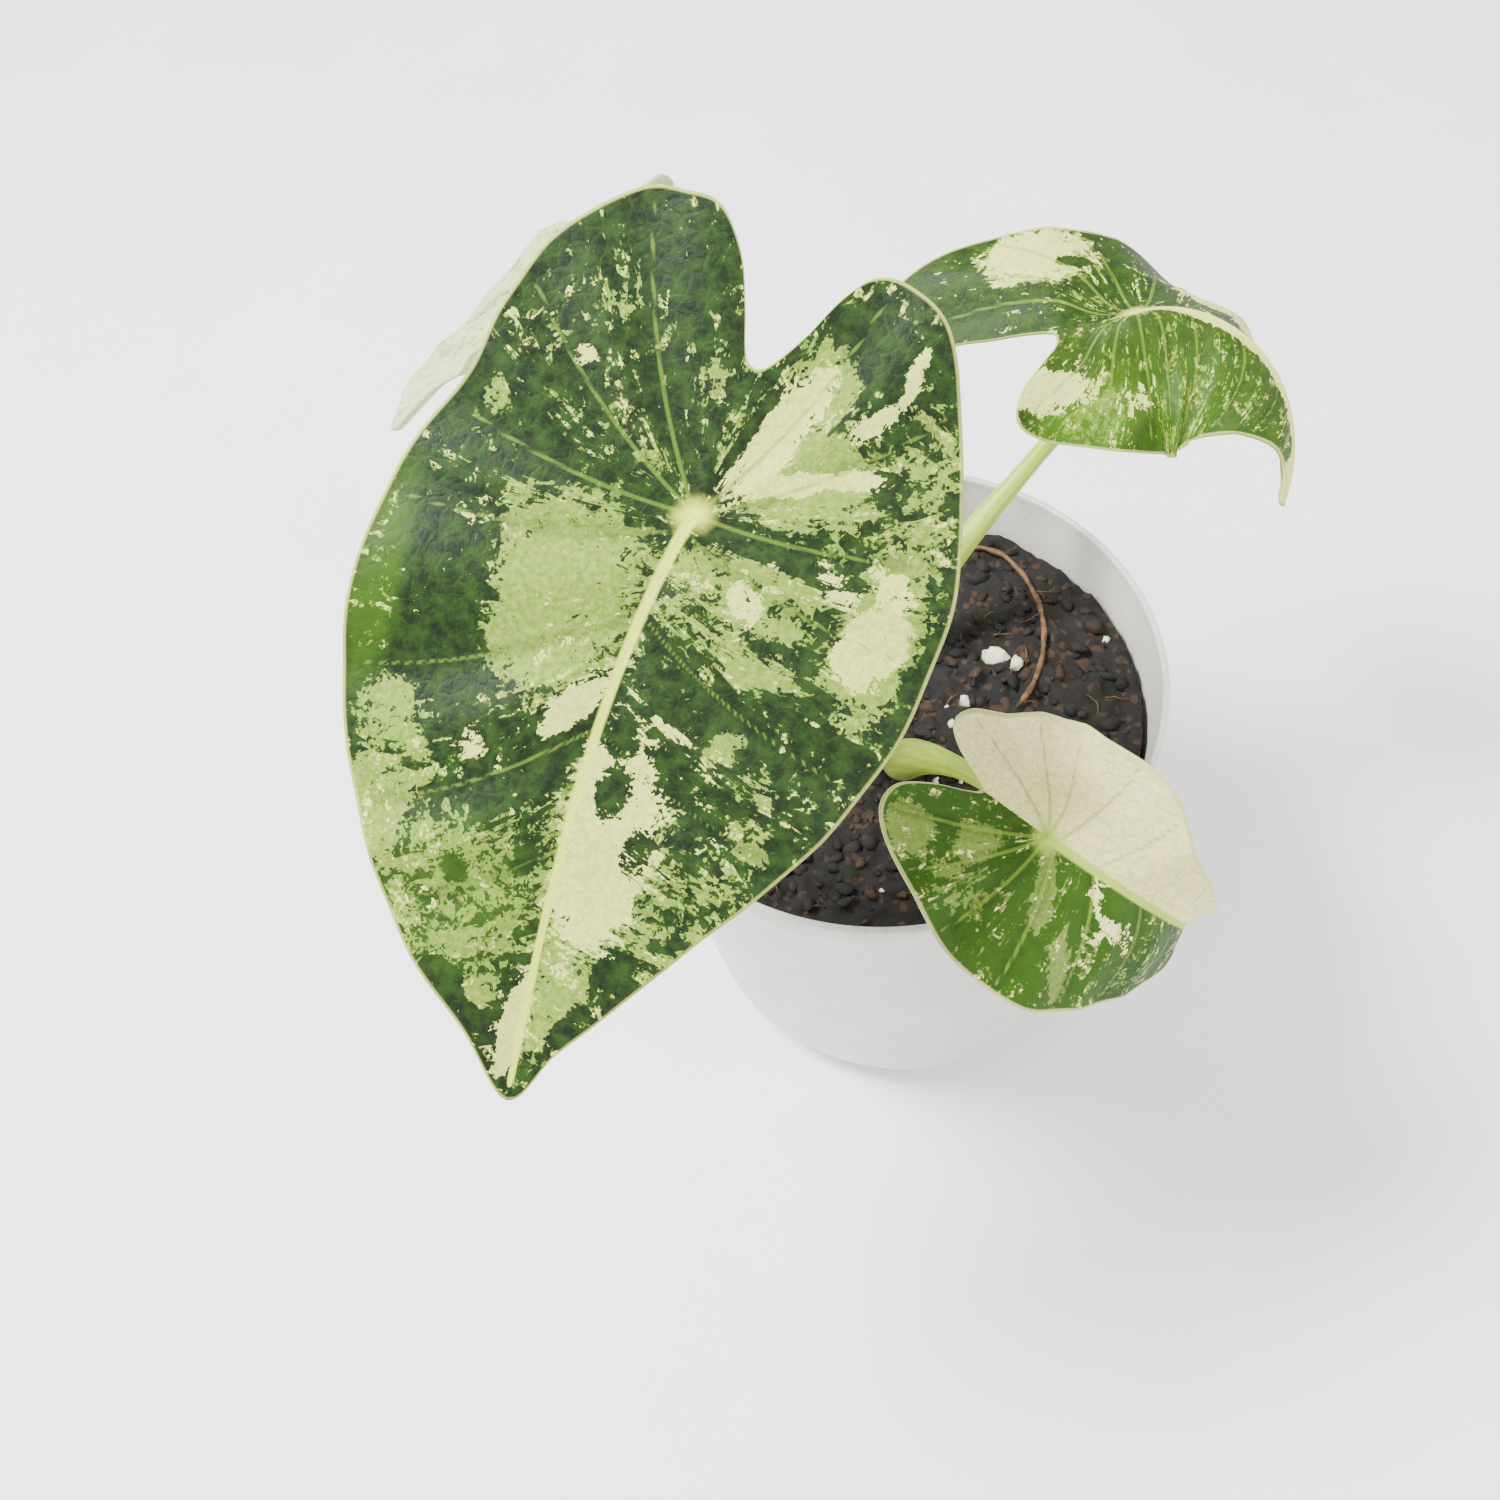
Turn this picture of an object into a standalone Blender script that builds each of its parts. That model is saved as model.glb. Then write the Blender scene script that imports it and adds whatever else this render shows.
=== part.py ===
"""A potted variegated alocasia: a white plastic pot, its soil, and four heart-shaped leaf blades on petioles.

Metres, +Z up. The origin is the middle of the pot's foot, on the surface that it stands on, and the photograph
looks roughly along +Y and down. Each blade is laid out flat round the point where its petiole joins it, then
curled along its midrib, folded at the midrib and turned into place.
"""

import math

import bmesh
import bpy
import numpy as np
from mathutils import Matrix, Vector, noise

CLEAR = 0.0003
HOLE_CLEAR = 0.0005
# Keeps a curvature of nought from dividing by nought.
TINY = 1e-4

# The pot.
POT_HEIGHT = 0.105
RIM_RADIUS = 0.060
RIM_BAND = 0.0060
RIM_PROUD = 0.0013
WALL = 0.0016
FOOT_RADIUS = 0.0400
FOOT_HEIGHT = 0.0015
HEEL_RADIUS = 0.012
HEEL_SIDE = 0.0526
POT_STEPS = 48
DRAIN_HOLES = 5
DRAIN_RADIUS = 0.0035
DRAIN_CIRCLE = 0.024

# The soil.
SOIL_TOP = 0.0925
SOIL_STEPS = 48
SOIL_RINGS = 12
SOIL_GAP = CLEAR + 0.0004
LUMP_HEIGHT = 0.0024
LUMP_SIZE = 0.0075
GRAIN_HEIGHT = 0.0016
GRAIN_SIZE = 0.0032
EDGE_FALL = 0.0022
EDGE_POWER = 6
# A root that lies in an arc on the soil, as a ridge.
ROOT_CENTRE = (0.0155, 0.0170)
ROOT_ARC_RADIUS = 0.0245
ROOT_ARC = (-50.0, 60.0)
ROOT_THICK = 0.0016
ROOT_REACH = 0.0015

# The corm that the petioles grow from, and the petioles.
CORM_RADIUS = 0.0085
CORM_DEPTH = 0.030
CORM_ABOVE = 0.0075
PETIOLE_CIRCLE = 0.0135
PETIOLE_DEPTH = 0.014
PETIOLE_FOOT = 0.0046
PETIOLE_TOP = 0.0019
PETIOLE_FLARE = 0.0004
PETIOLE_STUB = 0.0012
PETIOLE_POINTS = 17

# The blades.
BLADE_THICK = 0.0008
RIB_EXTRA = 0.0013
RIB_REACH = 0.0021
QUILT = 0.0013
QUILT_REACH = 0.0062
WAVES = 7
SWAY_REACH = 0.026
SEAT_CLEAR = 0.0004
# Round the joint the blade is level, so that the petiole's end lies flat against it.
LEVEL_RADIUS = 0.0040
LEVEL_FADE = 0.0120
RIBS_START = 0.0040
RIBS_FADE = 0.008

# Where the ribs of one half leave the midrib, as a share of its length, and the angle at which they reach the margin.
RIBS = ((0.0, 156), (0.0, 128), (0.0, 100), (0.03, 74), (0.17, 50), (0.36, 31), (0.56, 17))

# Outlines: the angle from the tip, positive on the blade's right, and the radius as a share of the midrib.
WIDE_OUTLINE = (
    (0, 1), (6, 0.9), (16, 0.815), (32, 0.7), (52, 0.588), (74, 0.492), (90, 0.445), (106, 0.412),
    (120, 0.437), (135, 0.476), (152, 0.500), (161, 0.485), (167, 0.465), (172, 0.4), (175.5, 0.325),
    (179, 0.262), (184, 0.24), (189, 0.255), (194, 0.32), (196.5, 0.4), (199.5, 0.452), (205, 0.476),
    (215, 0.48), (230, 0.44), (249, 0.415), (270, 0.425), (294, 0.465), (310, 0.51), (325, 0.575), (340, 0.68),
    (351, 0.815), (356, 0.9),
)
SHORT_LOBED_OUTLINE = (
    (0, 1), (6, 0.9), (16, 0.815), (32, 0.7), (52, 0.588), (74, 0.492), (90, 0.445), (106, 0.395),
    (120, 0.375), (135, 0.36), (152, 0.345), (161, 0.335), (168, 0.31), (174, 0.27), (179, 0.245), (184, 0.24),
    (189, 0.255), (194, 0.32), (199.5, 0.39), (205, 0.42), (215, 0.44), (230, 0.43), (249, 0.415), (270, 0.425),
    (294, 0.465), (310, 0.51), (325, 0.575), (340, 0.68), (351, 0.815), (356, 0.9),
)
LONG_LOBED_OUTLINE = (
    (0, 1.0), (4, 0.89), (10, 0.80), (20, 0.72), (35, 0.64), (50, 0.58), (66, 0.53), (90, 0.475), (111, 0.455),
    (130, 0.48), (145, 0.525), (155, 0.545), (161, 0.52), (166, 0.44), (170, 0.34), (175, 0.275), (180, 0.26),
    (185, 0.275), (190, 0.36), (194, 0.50), (199, 0.69), (206, 0.795), (216, 0.765), (230, 0.60), (248, 0.455),
    (270, 0.41), (294, 0.45), (310, 0.53), (325, 0.61), (340, 0.70), (350, 0.80), (356, 0.90),
)
LOPSIDED_OUTLINE = (
    (0, 1.0), (4, 0.87), (10, 0.77), (20, 0.69), (35, 0.61), (50, 0.555), (66, 0.52), (90, 0.47), (111, 0.445),
    (130, 0.46), (145, 0.505), (156, 0.53), (164, 0.50), (169, 0.40), (173, 0.30), (177, 0.25), (181, 0.24),
    (185, 0.25), (189, 0.30), (193, 0.40), (198, 0.48), (206, 0.50), (217, 0.475), (232, 0.44), (250, 0.42),
    (270, 0.42), (294, 0.415), (310, 0.40), (325, 0.415), (340, 0.51), (350, 0.66), (356, 0.83),
)

# Turns are in degrees: heading from +X towards +Y, dip of the tip, bank of the right side down. Curls are per metre.
# Folds are in degrees, right half then left, and droops are how fast each half curves down. Hook is how fast the
# blade bends to its right in its own plane, and sway is how far the midrib alone bows to the right.
BLADES = {
    "front_blade": {
        "outline": WIDE_OUTLINE, "length": 0.101, "spokes": 68, "rings": 10, "joint": (-0.0317, -0.0299, 0.2077),
        "heading": -127.9, "dip": 30.5, "bank": -20.2, "curl": (1.8, 2.0), "fold_front": (3.3, 3.5),
        "fold_back": (3.3, 3.5), "droop": (4.1, 4.2), "hook": 0.0, "sway": 0.0042, "wave": 0.0010,
    },
    "right_blade": {
        "outline": LONG_LOBED_OUTLINE, "length": 0.0615, "spokes": 58, "rings": 8, "joint": (0.0634, 0.0355, 0.1600),
        "heading": -5.0, "dip": -6.6, "bank": -28.0, "curl": (37.6, -10.0), "fold_front": (-51.8, 0.0),
        "fold_back": (-62.2, 48.0), "droop": (9.8, 6.5), "hook": 8.0, "sway": 0.0, "wave": 0.0012,
    },
    "low_blade": {
        "outline": LOPSIDED_OUTLINE, "length": 0.0585, "spokes": 54, "rings": 8, "joint": (0.0153, -0.0661, 0.1439),
        "heading": -53.4, "dip": 6.5, "bank": 27.7, "curl": (38.8, 19.8), "fold_front": (-1.7, 27.7),
        "fold_back": (13.3, 34.5), "droop": (-1.0, -3.7), "hook": 0.0, "sway": 0.0, "wave": 0.0008,
    },
    "back_blade": {
        "outline": SHORT_LOBED_OUTLINE, "length": 0.0600, "spokes": 56, "rings": 8, "joint": (-0.0394, 0.0816, 0.1708),
        "heading": 179.0, "dip": 30.3, "bank": 23.2, "curl": (1.0, 12.0), "fold_front": (4.5, 8.0),
        "fold_back": (-25.0, -7.8), "droop": (2.6, 7.6), "hook": -10.0, "sway": 0.0, "wave": 0.0010,
    },
}
# Each petiole's foot as an angle round the corm, and how far it rises before it arches over. Slant is how far it
# reaches its blade from behind and from the blade's left, against straight from below, over the length of its neck.
PETIOLES = {
    "front_blade": {"foot": 214.0, "rise": 0.45, "slant": (0.0, 0.0), "neck": 0.30},
    "right_blade": {"foot": 80.0, "rise": 0.33, "slant": (0.4, 0.6), "neck": 0.30},
    "low_blade": {"foot": 268.0, "rise": 0.28, "slant": (1.0, 0.2), "neck": 0.30},
    "back_blade": {"foot": 150.0, "rise": 0.45, "slant": (0.2, 0.0), "neck": 0.30},
}

WHITE = ((0.83, 0.82, 0.80, 1.0), 0.35)
DARK_SOIL = ((0.045, 0.030, 0.020, 1.0), 0.95)
CORM_BROWN = ((0.30, 0.22, 0.10, 1.0), 0.8)
PALE_GREEN = ((0.46, 0.58, 0.14, 1.0), 0.45)
LEAF_GREEN = ((0.10, 0.24, 0.06, 1.0), 0.42)


def clear_scene():
    for obj in list(bpy.data.objects):
        bpy.data.objects.remove(obj)


def new_collection(name, shown=True):
    made = bpy.data.collections.new(name)
    bpy.context.scene.collection.children.link(made)
    made.hide_render = not shown
    return made


def material(name, look):
    colour, roughness = look
    made = bpy.data.materials.new(name)
    made.use_nodes = True
    shader = made.node_tree.nodes["Principled BSDF"]
    shader.inputs["Base Color"].default_value = colour
    shader.inputs["Roughness"].default_value = roughness
    shader.inputs["Metallic"].default_value = 0.0
    return made


def mesh_object(name, mesh, collection, finish=None):
    obj = bpy.data.objects.new(name, mesh)
    collection.objects.link(obj)
    if finish:
        mesh.materials.append(finish)
    return obj


def smooth_step(x):
    x = np.clip(x, 0.0, 1.0)
    return x * x * (3.0 - 2.0 * x)


def closed_curve(knots, count):
    """Points on a smooth closed curve through the knots, an equal number in each span."""
    knots = np.asarray(knots, float)
    t = np.linspace(0.0, 1.0, count, endpoint=False)[:, None]
    spans = []
    for i in range(len(knots)):
        a, b, c, d = (knots[(i + k) % len(knots)] for k in (-1, 0, 1, 2))
        spans.append(
            b + 0.5 * t * (c - a)
            + t**2 * (a - 2.5 * b + 2.0 * c - 0.5 * d)
            + t**3 * (1.5 * (b - c) + 0.5 * (d - a))
        )
    return np.concatenate(spans)


def outline_points(blade, count):
    """Margin points (across, along), evenly spaced from the tip round the right lobe, the sinus and the left lobe."""
    angles = np.radians([a for a, _ in blade["outline"]])
    radii = blade["length"] * np.array([r for _, r in blade["outline"]])
    dense = closed_curve(np.column_stack([radii * np.sin(angles), radii * np.cos(angles)]), 24)
    dense = np.vstack([dense, dense[:1]])
    run = np.concatenate([[0.0], np.cumsum(np.hypot(*np.diff(dense, axis=0).T))])
    wanted = np.linspace(0.0, run[-1], count, endpoint=False)
    return np.column_stack([np.interp(wanted, run, dense[:, 0]), np.interp(wanted, run, dense[:, 1])])


def rib_lines(blade, margin):
    """The midrib and the main side ribs, each a row of flat points."""
    length = blade["length"]
    steps = np.linspace(0.0, 1.0, 13)[:, None]
    lines = [np.array([[0.0, 0.0], [0.0, 0.97 * length]])]
    bearing = np.degrees(np.arctan2(margin[:, 0], margin[:, 1]))
    for side in (1, -1):
        for start_share, angle in RIBS:
            nearest = np.argmin(np.abs(bearing - side * angle))
            start = np.array([0.0, start_share * length])
            end = 0.94 * margin[nearest]
            chord = end - start
            bow = 0.10 * np.array([chord[1], -chord[0]]) * side
            middle = 0.5 * (start + end) - bow * np.sign(chord[0] * side)
            lines.append((1 - steps) ** 2 * start + 2 * steps * (1 - steps) * middle + steps**2 * end)
    return lines


def distance_to(lines, flat):
    """How far each flat point is from the nearest of the lines."""
    best = np.full(len(flat), 1.0)
    for line in lines:
        for a, b in zip(line[:-1], line[1:]):
            ab = b - a
            share = np.clip(((flat - a) @ ab) / (ab @ ab), 0.0, 1.0)
            best = np.minimum(best, np.hypot(*(flat - a - share[:, None] * ab).T))
    return best


def turn(blade):
    """The rotation from the blade's own axes (x to the tip, y to its left, z up) to the part's."""
    return (
        Matrix.Rotation(math.radians(blade["heading"]), 3, "Z")
        @ Matrix.Rotation(math.radians(blade["dip"]), 3, "Y")
        @ Matrix.Rotation(math.radians(blade["bank"]), 3, "X")
    )


def curled(blade, flat, raised):
    """Flat points (across, along) folded, hooked and curled, raised along the normal, in the part's frame."""
    across, along = flat[:, 0], flat[:, 1]
    share = smooth_step(along / blade["length"] / 0.5 + 0.5)
    right = across >= 0
    folds = [
        np.radians(blade["fold_back"][k] + share * (blade["fold_front"][k] - blade["fold_back"][k])) for k in (0, 1)
    ]
    fold = np.where(right, folds[0], folds[1])
    droop = np.where(right, *blade["droop"]) + TINY
    width = np.abs(across)
    slope = fold - droop * width
    settled = smooth_step((np.hypot(across, along) - LEVEL_RADIUS) / LEVEL_FADE)
    out = np.where(right, 1.0, -1.0) * ((np.sin(fold) - np.sin(slope)) / droop - np.sin(slope) * raised)
    lift = settled * (np.cos(slope) - np.cos(fold)) / droop + np.cos(slope) * raised
    swayed = blade["sway"] * np.sin(math.pi * (along / blade["length"]).clip(0.0, 1.0) ** 0.75)
    out = out + swayed * np.exp(-((width / SWAY_REACH) ** 2))
    hook = blade["hook"] + TINY
    turned_by = hook * along.clip(0.0)
    ahead = np.where(along > 0, (1.0 / hook - out) * np.sin(turned_by), along)
    aside = 1.0 / hook - (1.0 / hook - out) * np.cos(turned_by)
    bend = np.where(along >= 0, blade["curl"][0], -blade["curl"][1]) + TINY
    local = np.column_stack([
        np.sin(bend * ahead) / bend + np.sin(bend * ahead) * lift,
        -aside,
        -(1.0 - np.cos(bend * ahead)) / bend + np.cos(bend * ahead) * lift,
    ])
    return local @ np.array(turn(blade)).T + np.array(blade["joint"])


def relief(blade, flat, lines):
    """The height of the blade's quilting: swollen between the ribs, level at them, with a slow wave at the margin."""
    away = distance_to(lines, flat)
    swollen = QUILT * (1.0 - np.exp(-((away / QUILT_REACH) ** 2)))
    bearing = np.arctan2(flat[:, 0], flat[:, 1])
    reach = np.hypot(*flat.T) / blade["length"]
    return swollen + blade["wave"] * np.sin(WAVES * bearing) * smooth_step((reach - 0.2) / 0.3)


def add_blade(name, blade, collection, finish):
    margin = outline_points(blade, blade["spokes"])
    lines = rib_lines(blade, margin)
    spokes, rings = blade["spokes"], blade["rings"]
    form = bmesh.new()
    bmesh.ops.create_grid(form, x_segments=spokes, y_segments=rings, size=0.5)
    form.verts.ensure_lookup_table()
    corners = np.array([v.co[:2] for v in form.verts]) + 0.5
    spoke = np.rint(corners[:, 0] * spokes).astype(int) % spokes
    share = np.rint(corners[:, 1] * rings) / rings
    reach = np.hypot(*margin[spoke].T)
    outward = margin[spoke] / reach[:, None]
    grown = LEVEL_RADIUS + (reach - LEVEL_RADIUS) * ((share * rings - 1) / (rings - 1)).clip(0.0, 1.0)
    flat = outward * np.where(share > 0, grown, 0.0)[:, None]
    placed = curled(blade, flat, relief(blade, flat, lines))
    for vert, point in zip(form.verts, placed):
        vert.co = point
    mesh = bpy.data.meshes.new(name)
    form.to_mesh(mesh)
    form.free()
    obj = mesh_object(name, mesh, collection, finish)
    thickness = obj.vertex_groups.new(name="ribs")
    weights = np.exp(-((distance_to(lines, flat) / RIB_REACH) ** 2))
    weights *= smooth_step((np.hypot(*flat.T) - RIBS_START) / RIBS_FADE)
    for index, weight in enumerate(weights):
        thickness.add([index], float(weight), "REPLACE")
    weld = obj.modifiers.new("weld", "WELD")
    weld.merge_threshold = 0.00001
    split = obj.modifiers.new("split", "TRIANGULATE")
    split.quad_method = "FIXED"
    shell = obj.modifiers.new("shell", "SOLIDIFY")
    shell.thickness = BLADE_THICK + RIB_EXTRA
    shell.offset = -1.0
    shell.vertex_group = thickness.name
    shell.thickness_vertex_group = BLADE_THICK / (BLADE_THICK + RIB_EXTRA)
    mesh.shade_smooth()
    return obj


def tube(name, points, radii, collection):
    """A tapering tube with closed ends, as a curve."""
    line = bpy.data.curves.new(name, "CURVE")
    line.dimensions = "3D"
    line.bevel_depth = 1.0
    line.bevel_resolution = 3
    line.use_fill_caps = True
    spline = line.splines.new("POLY")
    spline.points.add(len(points) - 1)
    for knot, point, radius in zip(spline.points, points, radii):
        knot.co = (*point, 1.0)
        knot.radius = radius
    obj = bpy.data.objects.new(name, line)
    collection.objects.link(obj)
    return obj


def as_mesh(obj, collection, finish=None):
    """A curve made into a mesh object with its caps welded."""
    bpy.context.view_layer.update()
    mesh = bpy.data.meshes.new_from_object(obj.evaluated_get(bpy.context.evaluated_depsgraph_get()))
    form = bmesh.new()
    form.from_mesh(mesh)
    bmesh.ops.remove_doubles(form, verts=form.verts, dist=0.00001)
    form.to_mesh(mesh)
    form.free()
    name = obj.name
    place = obj.matrix_world.copy()
    bpy.data.objects.remove(obj)
    mesh.materials.clear()
    made = mesh_object(name, mesh, collection, finish)
    made.matrix_world = place
    return made


def petiole_path(name):
    """From the corm's side, up and over to a point just under the blade's joint."""
    blade, petiole = BLADES[name], PETIOLES[name]
    bearing = math.radians(petiole["foot"])
    out = Vector((math.cos(bearing), math.sin(bearing), 0.0))
    foot = out * PETIOLE_CIRCLE + Vector((0.0, 0.0, SOIL_TOP))
    tip_way, left_way, normal = turn(blade).col
    back, left = petiole["slant"]
    arrival = (normal + back * tip_way - left * left_way).normalized()
    top = Vector(blade["joint"]) - normal * (BLADE_THICK + SEAT_CLEAR)
    reach = (top - foot).length
    lean = (top - foot).normalized()
    knots = [
        foot,
        foot + (Vector((0.0, 0.0, 1.0)) + lean).normalized() * reach * petiole["rise"],
        top - arrival * reach * petiole["neck"],
        top,
    ]
    points = [foot - Vector((0.0, 0.0, PETIOLE_DEPTH))]
    points += [_bezier(knots, k / PETIOLE_POINTS) for k in range(PETIOLE_POINTS)]
    points += [top - normal * PETIOLE_STUB, top]
    return points


def _bezier(knots, t):
    a, b, c, d = knots
    return (1 - t) ** 3 * a + 3 * t * (1 - t) ** 2 * b + 3 * t**2 * (1 - t) * c + t**3 * d


def petiole_radii(count):
    """Thick and sheathed at the foot, slim at the top, and a little wider again where it meets the blade."""
    shares = np.linspace(0.0, 1.0, count)
    slim = PETIOLE_TOP + (PETIOLE_FOOT - PETIOLE_TOP) * (1.0 - smooth_step(shares / 0.6))
    return slim + PETIOLE_FLARE * smooth_step((shares - 0.9) / 0.1)


def add_petiole(name, collection, holes, finish):
    """The petiole as a mesh, and a slightly fatter tube of its buried end that cuts its hole in the soil."""
    points = petiole_path(name)
    radii = petiole_radii(len(points))
    stem = name.replace("blade", "petiole")
    obj = as_mesh(tube(stem, points, radii, collection), collection, finish)
    obj.data.shade_smooth()
    buried = [points[0] - Vector((0.0, 0.0, 2 * CLEAR))] + points[1:6]
    cutter = tube(stem + "_hole", buried, radii[:6] + HOLE_CLEAR, holes)
    as_mesh(cutter, holes)
    return obj


def pot_profile():
    """The wall's section as (radius, height), from the middle of the inner floor, up, over the rim, down and under."""
    floor = FOOT_HEIGHT + WALL
    body_top = RIM_RADIUS - RIM_PROUD
    inner_heel = HEEL_RADIUS - WALL

    def heel(radius):
        centre_r = HEEL_SIDE - HEEL_RADIUS
        steps = [math.radians(a) for a in (0, 30, 60, 90)]
        return [
            (centre_r + radius * math.sin(a), FOOT_HEIGHT + HEEL_RADIUS - radius * math.cos(a)) for a in steps
        ]

    inner = [(0.0, floor)] + heel(inner_heel)
    inner += [
        (body_top - WALL, POT_HEIGHT - RIM_BAND),
        (RIM_RADIUS - WALL, POT_HEIGHT - 0.0012),
        (RIM_RADIUS - WALL * 0.75, POT_HEIGHT - 0.0003),
    ]
    outer = [
        (RIM_RADIUS - WALL * 0.25, POT_HEIGHT),
        (RIM_RADIUS, POT_HEIGHT - 0.0005),
        (RIM_RADIUS, POT_HEIGHT - RIM_BAND + 0.0004),
        (RIM_RADIUS - 0.0004, POT_HEIGHT - RIM_BAND),
        (body_top, POT_HEIGHT - RIM_BAND),
    ]
    outer += list(reversed(heel(HEEL_RADIUS)))
    foot = [(FOOT_RADIUS, FOOT_HEIGHT), (FOOT_RADIUS, 0.0), (0.0, 0.0)]
    return inner + outer + foot


def turned(name, profile, steps, collection, finish):
    mesh = bpy.data.meshes.new(name)
    mesh.from_pydata([(r, 0.0, z) for r, z in profile], [(k, k + 1) for k in range(len(profile) - 1)], [])
    obj = mesh_object(name, mesh, collection, finish)
    screw = obj.modifiers.new("turn", "SCREW")
    screw.steps = screw.render_steps = steps
    screw.use_merge_vertices = True
    screw.merge_threshold = 0.00001
    return obj


def cut(obj, cutters):
    for index, cutter in enumerate(cutters):
        boolean = obj.modifiers.new(f"cut{index}", "BOOLEAN")
        boolean.operation = "DIFFERENCE"
        boolean.solver = "EXACT"
        boolean.object = cutter
        cutter.hide_render = True
        cutter.display_type = "WIRE"


def add_pot(collection, holes, finish):
    pot = turned("pot", pot_profile(), POT_STEPS, collection, finish)
    drains = []
    for k in range(DRAIN_HOLES):
        angle = 2 * math.pi * k / DRAIN_HOLES
        form = bmesh.new()
        bmesh.ops.create_cone(
            form, cap_ends=True, segments=12, radius1=DRAIN_RADIUS, radius2=DRAIN_RADIUS, depth=0.02
        )
        mesh = bpy.data.meshes.new(f"drain_{k}")
        form.to_mesh(mesh)
        form.free()
        drain = mesh_object(f"drain_{k}", mesh, holes)
        drain.location = (DRAIN_CIRCLE * math.cos(angle), DRAIN_CIRCLE * math.sin(angle), 0.0)
        drains.append(drain)
    cut(pot, drains)
    return pot


def soil_height(x, y):
    """Lumps of bark and grit on the soil's top, and the ridge of the root that lies on it."""
    lump = 1.0 - noise.voronoi(Vector((x / LUMP_SIZE, y / LUMP_SIZE, 0.4)))[0][0]
    grain = noise.noise(Vector((x / GRAIN_SIZE, y / GRAIN_SIZE, 2.0)))
    height = LUMP_HEIGHT * max(lump, 0.0) + GRAIN_HEIGHT * grain
    dx, dy = x - ROOT_CENTRE[0], y - ROOT_CENTRE[1]
    on_arc = ROOT_ARC[0] <= math.degrees(math.atan2(dy, dx)) <= ROOT_ARC[1]
    if on_arc:
        off = abs(math.hypot(dx, dy) - ROOT_ARC_RADIUS)
        height += ROOT_THICK * math.exp(-((off / ROOT_REACH) ** 2))
    return height


def soil_profile():
    """Radius and height of the soil from the middle of its underside to the middle of its top."""
    floor = FOOT_HEIGHT + WALL + SOIL_GAP
    heel_r = HEEL_SIDE - WALL - SOIL_GAP
    top_r = RIM_RADIUS - RIM_PROUD - WALL - SOIL_GAP
    body_z = POT_HEIGHT - RIM_BAND
    heel_z = FOOT_HEIGHT + HEEL_RADIUS
    side = [(heel_r - 0.008, floor), (heel_r - 0.0028, floor + 0.0028), (heel_r, heel_z + 0.001)]
    edge_r = heel_r + (top_r - heel_r) * (SOIL_TOP - heel_z) / (body_z - heel_z) - 0.0006
    rings = [(edge_r * (1.0 - k / SOIL_RINGS), SOIL_TOP) for k in range(SOIL_RINGS)]
    return [(0.0, floor)] + side + rings + [(0.0, SOIL_TOP)]


def add_soil(collection, finish):
    profile = soil_profile()
    form = bmesh.new()
    bmesh.ops.create_grid(form, x_segments=SOIL_STEPS, y_segments=len(profile) - 1, size=0.5)
    edge = profile[4][0]
    for vert in form.verts:
        angle = 2 * math.pi * (round((vert.co.x + 0.5) * SOIL_STEPS) % SOIL_STEPS) / SOIL_STEPS
        radius, height = profile[round((vert.co.y + 0.5) * (len(profile) - 1))]
        x, y = radius * math.cos(angle), radius * math.sin(angle)
        if height == SOIL_TOP:
            height += soil_height(x, y) - EDGE_FALL * (radius / edge) ** EDGE_POWER
        vert.co = (x, y, height)
    bmesh.ops.remove_doubles(form, verts=form.verts, dist=0.00001)
    bmesh.ops.triangulate(form, faces=form.faces)
    bmesh.ops.recalc_face_normals(form, faces=form.faces)
    mesh = bpy.data.meshes.new("soil")
    form.to_mesh(mesh)
    form.free()
    return mesh_object("soil", mesh, collection, finish)


def corm_profile(extra):
    """The corm's section from the top down, with its sheath scars as small steps."""
    top = SOIL_TOP + CORM_ABOVE
    low = SOIL_TOP - CORM_DEPTH
    shares = (1.0, 0.97, 0.9, 0.78, 0.76, 0.64, 0.62, 0.5, 0.3, 0.12, 0.0)
    widths = (0.0, 0.34, 0.62, 0.78, 0.88, 0.93, 1.0, 1.0, 0.9, 0.6, 0.0)
    points = [(0.0, top + extra)]
    for share, width in zip(shares[1:-1], widths[1:-1]):
        points.append((CORM_RADIUS * width + extra, low + (top - low) * share))
    return points + [(0.0, low - extra)]


def main():
    clear_scene()
    plant = new_collection("potted_alocasia")
    holes = new_collection("cutters", shown=False)
    green = material("blade_green", LEAF_GREEN)
    pale = material("petiole_green", PALE_GREEN)
    add_pot(plant, holes, material("white_plastic", WHITE))
    soil = add_soil(plant, material("potting_soil", DARK_SOIL))
    turned("corm", corm_profile(0.0), 20, plant, material("corm_skin", CORM_BROWN))
    turned("corm_hole", corm_profile(CLEAR), 20, holes, None)
    for name, blade in BLADES.items():
        add_blade(name, blade, plant, green)
        add_petiole(name, plant, holes, pale)
    cut(soil, [bpy.data.objects["corm_hole"]] + [
        bpy.data.objects[name.replace("blade", "petiole") + "_hole"] for name in BLADES
    ])


main()
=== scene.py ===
"""Looks of the potted variegated alocasia, in metres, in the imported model's frame.

The camera stands where the photograph was taken from.
"""

import math

import bpy
import numpy as np
from mathutils import Matrix, Vector, noise


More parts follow.
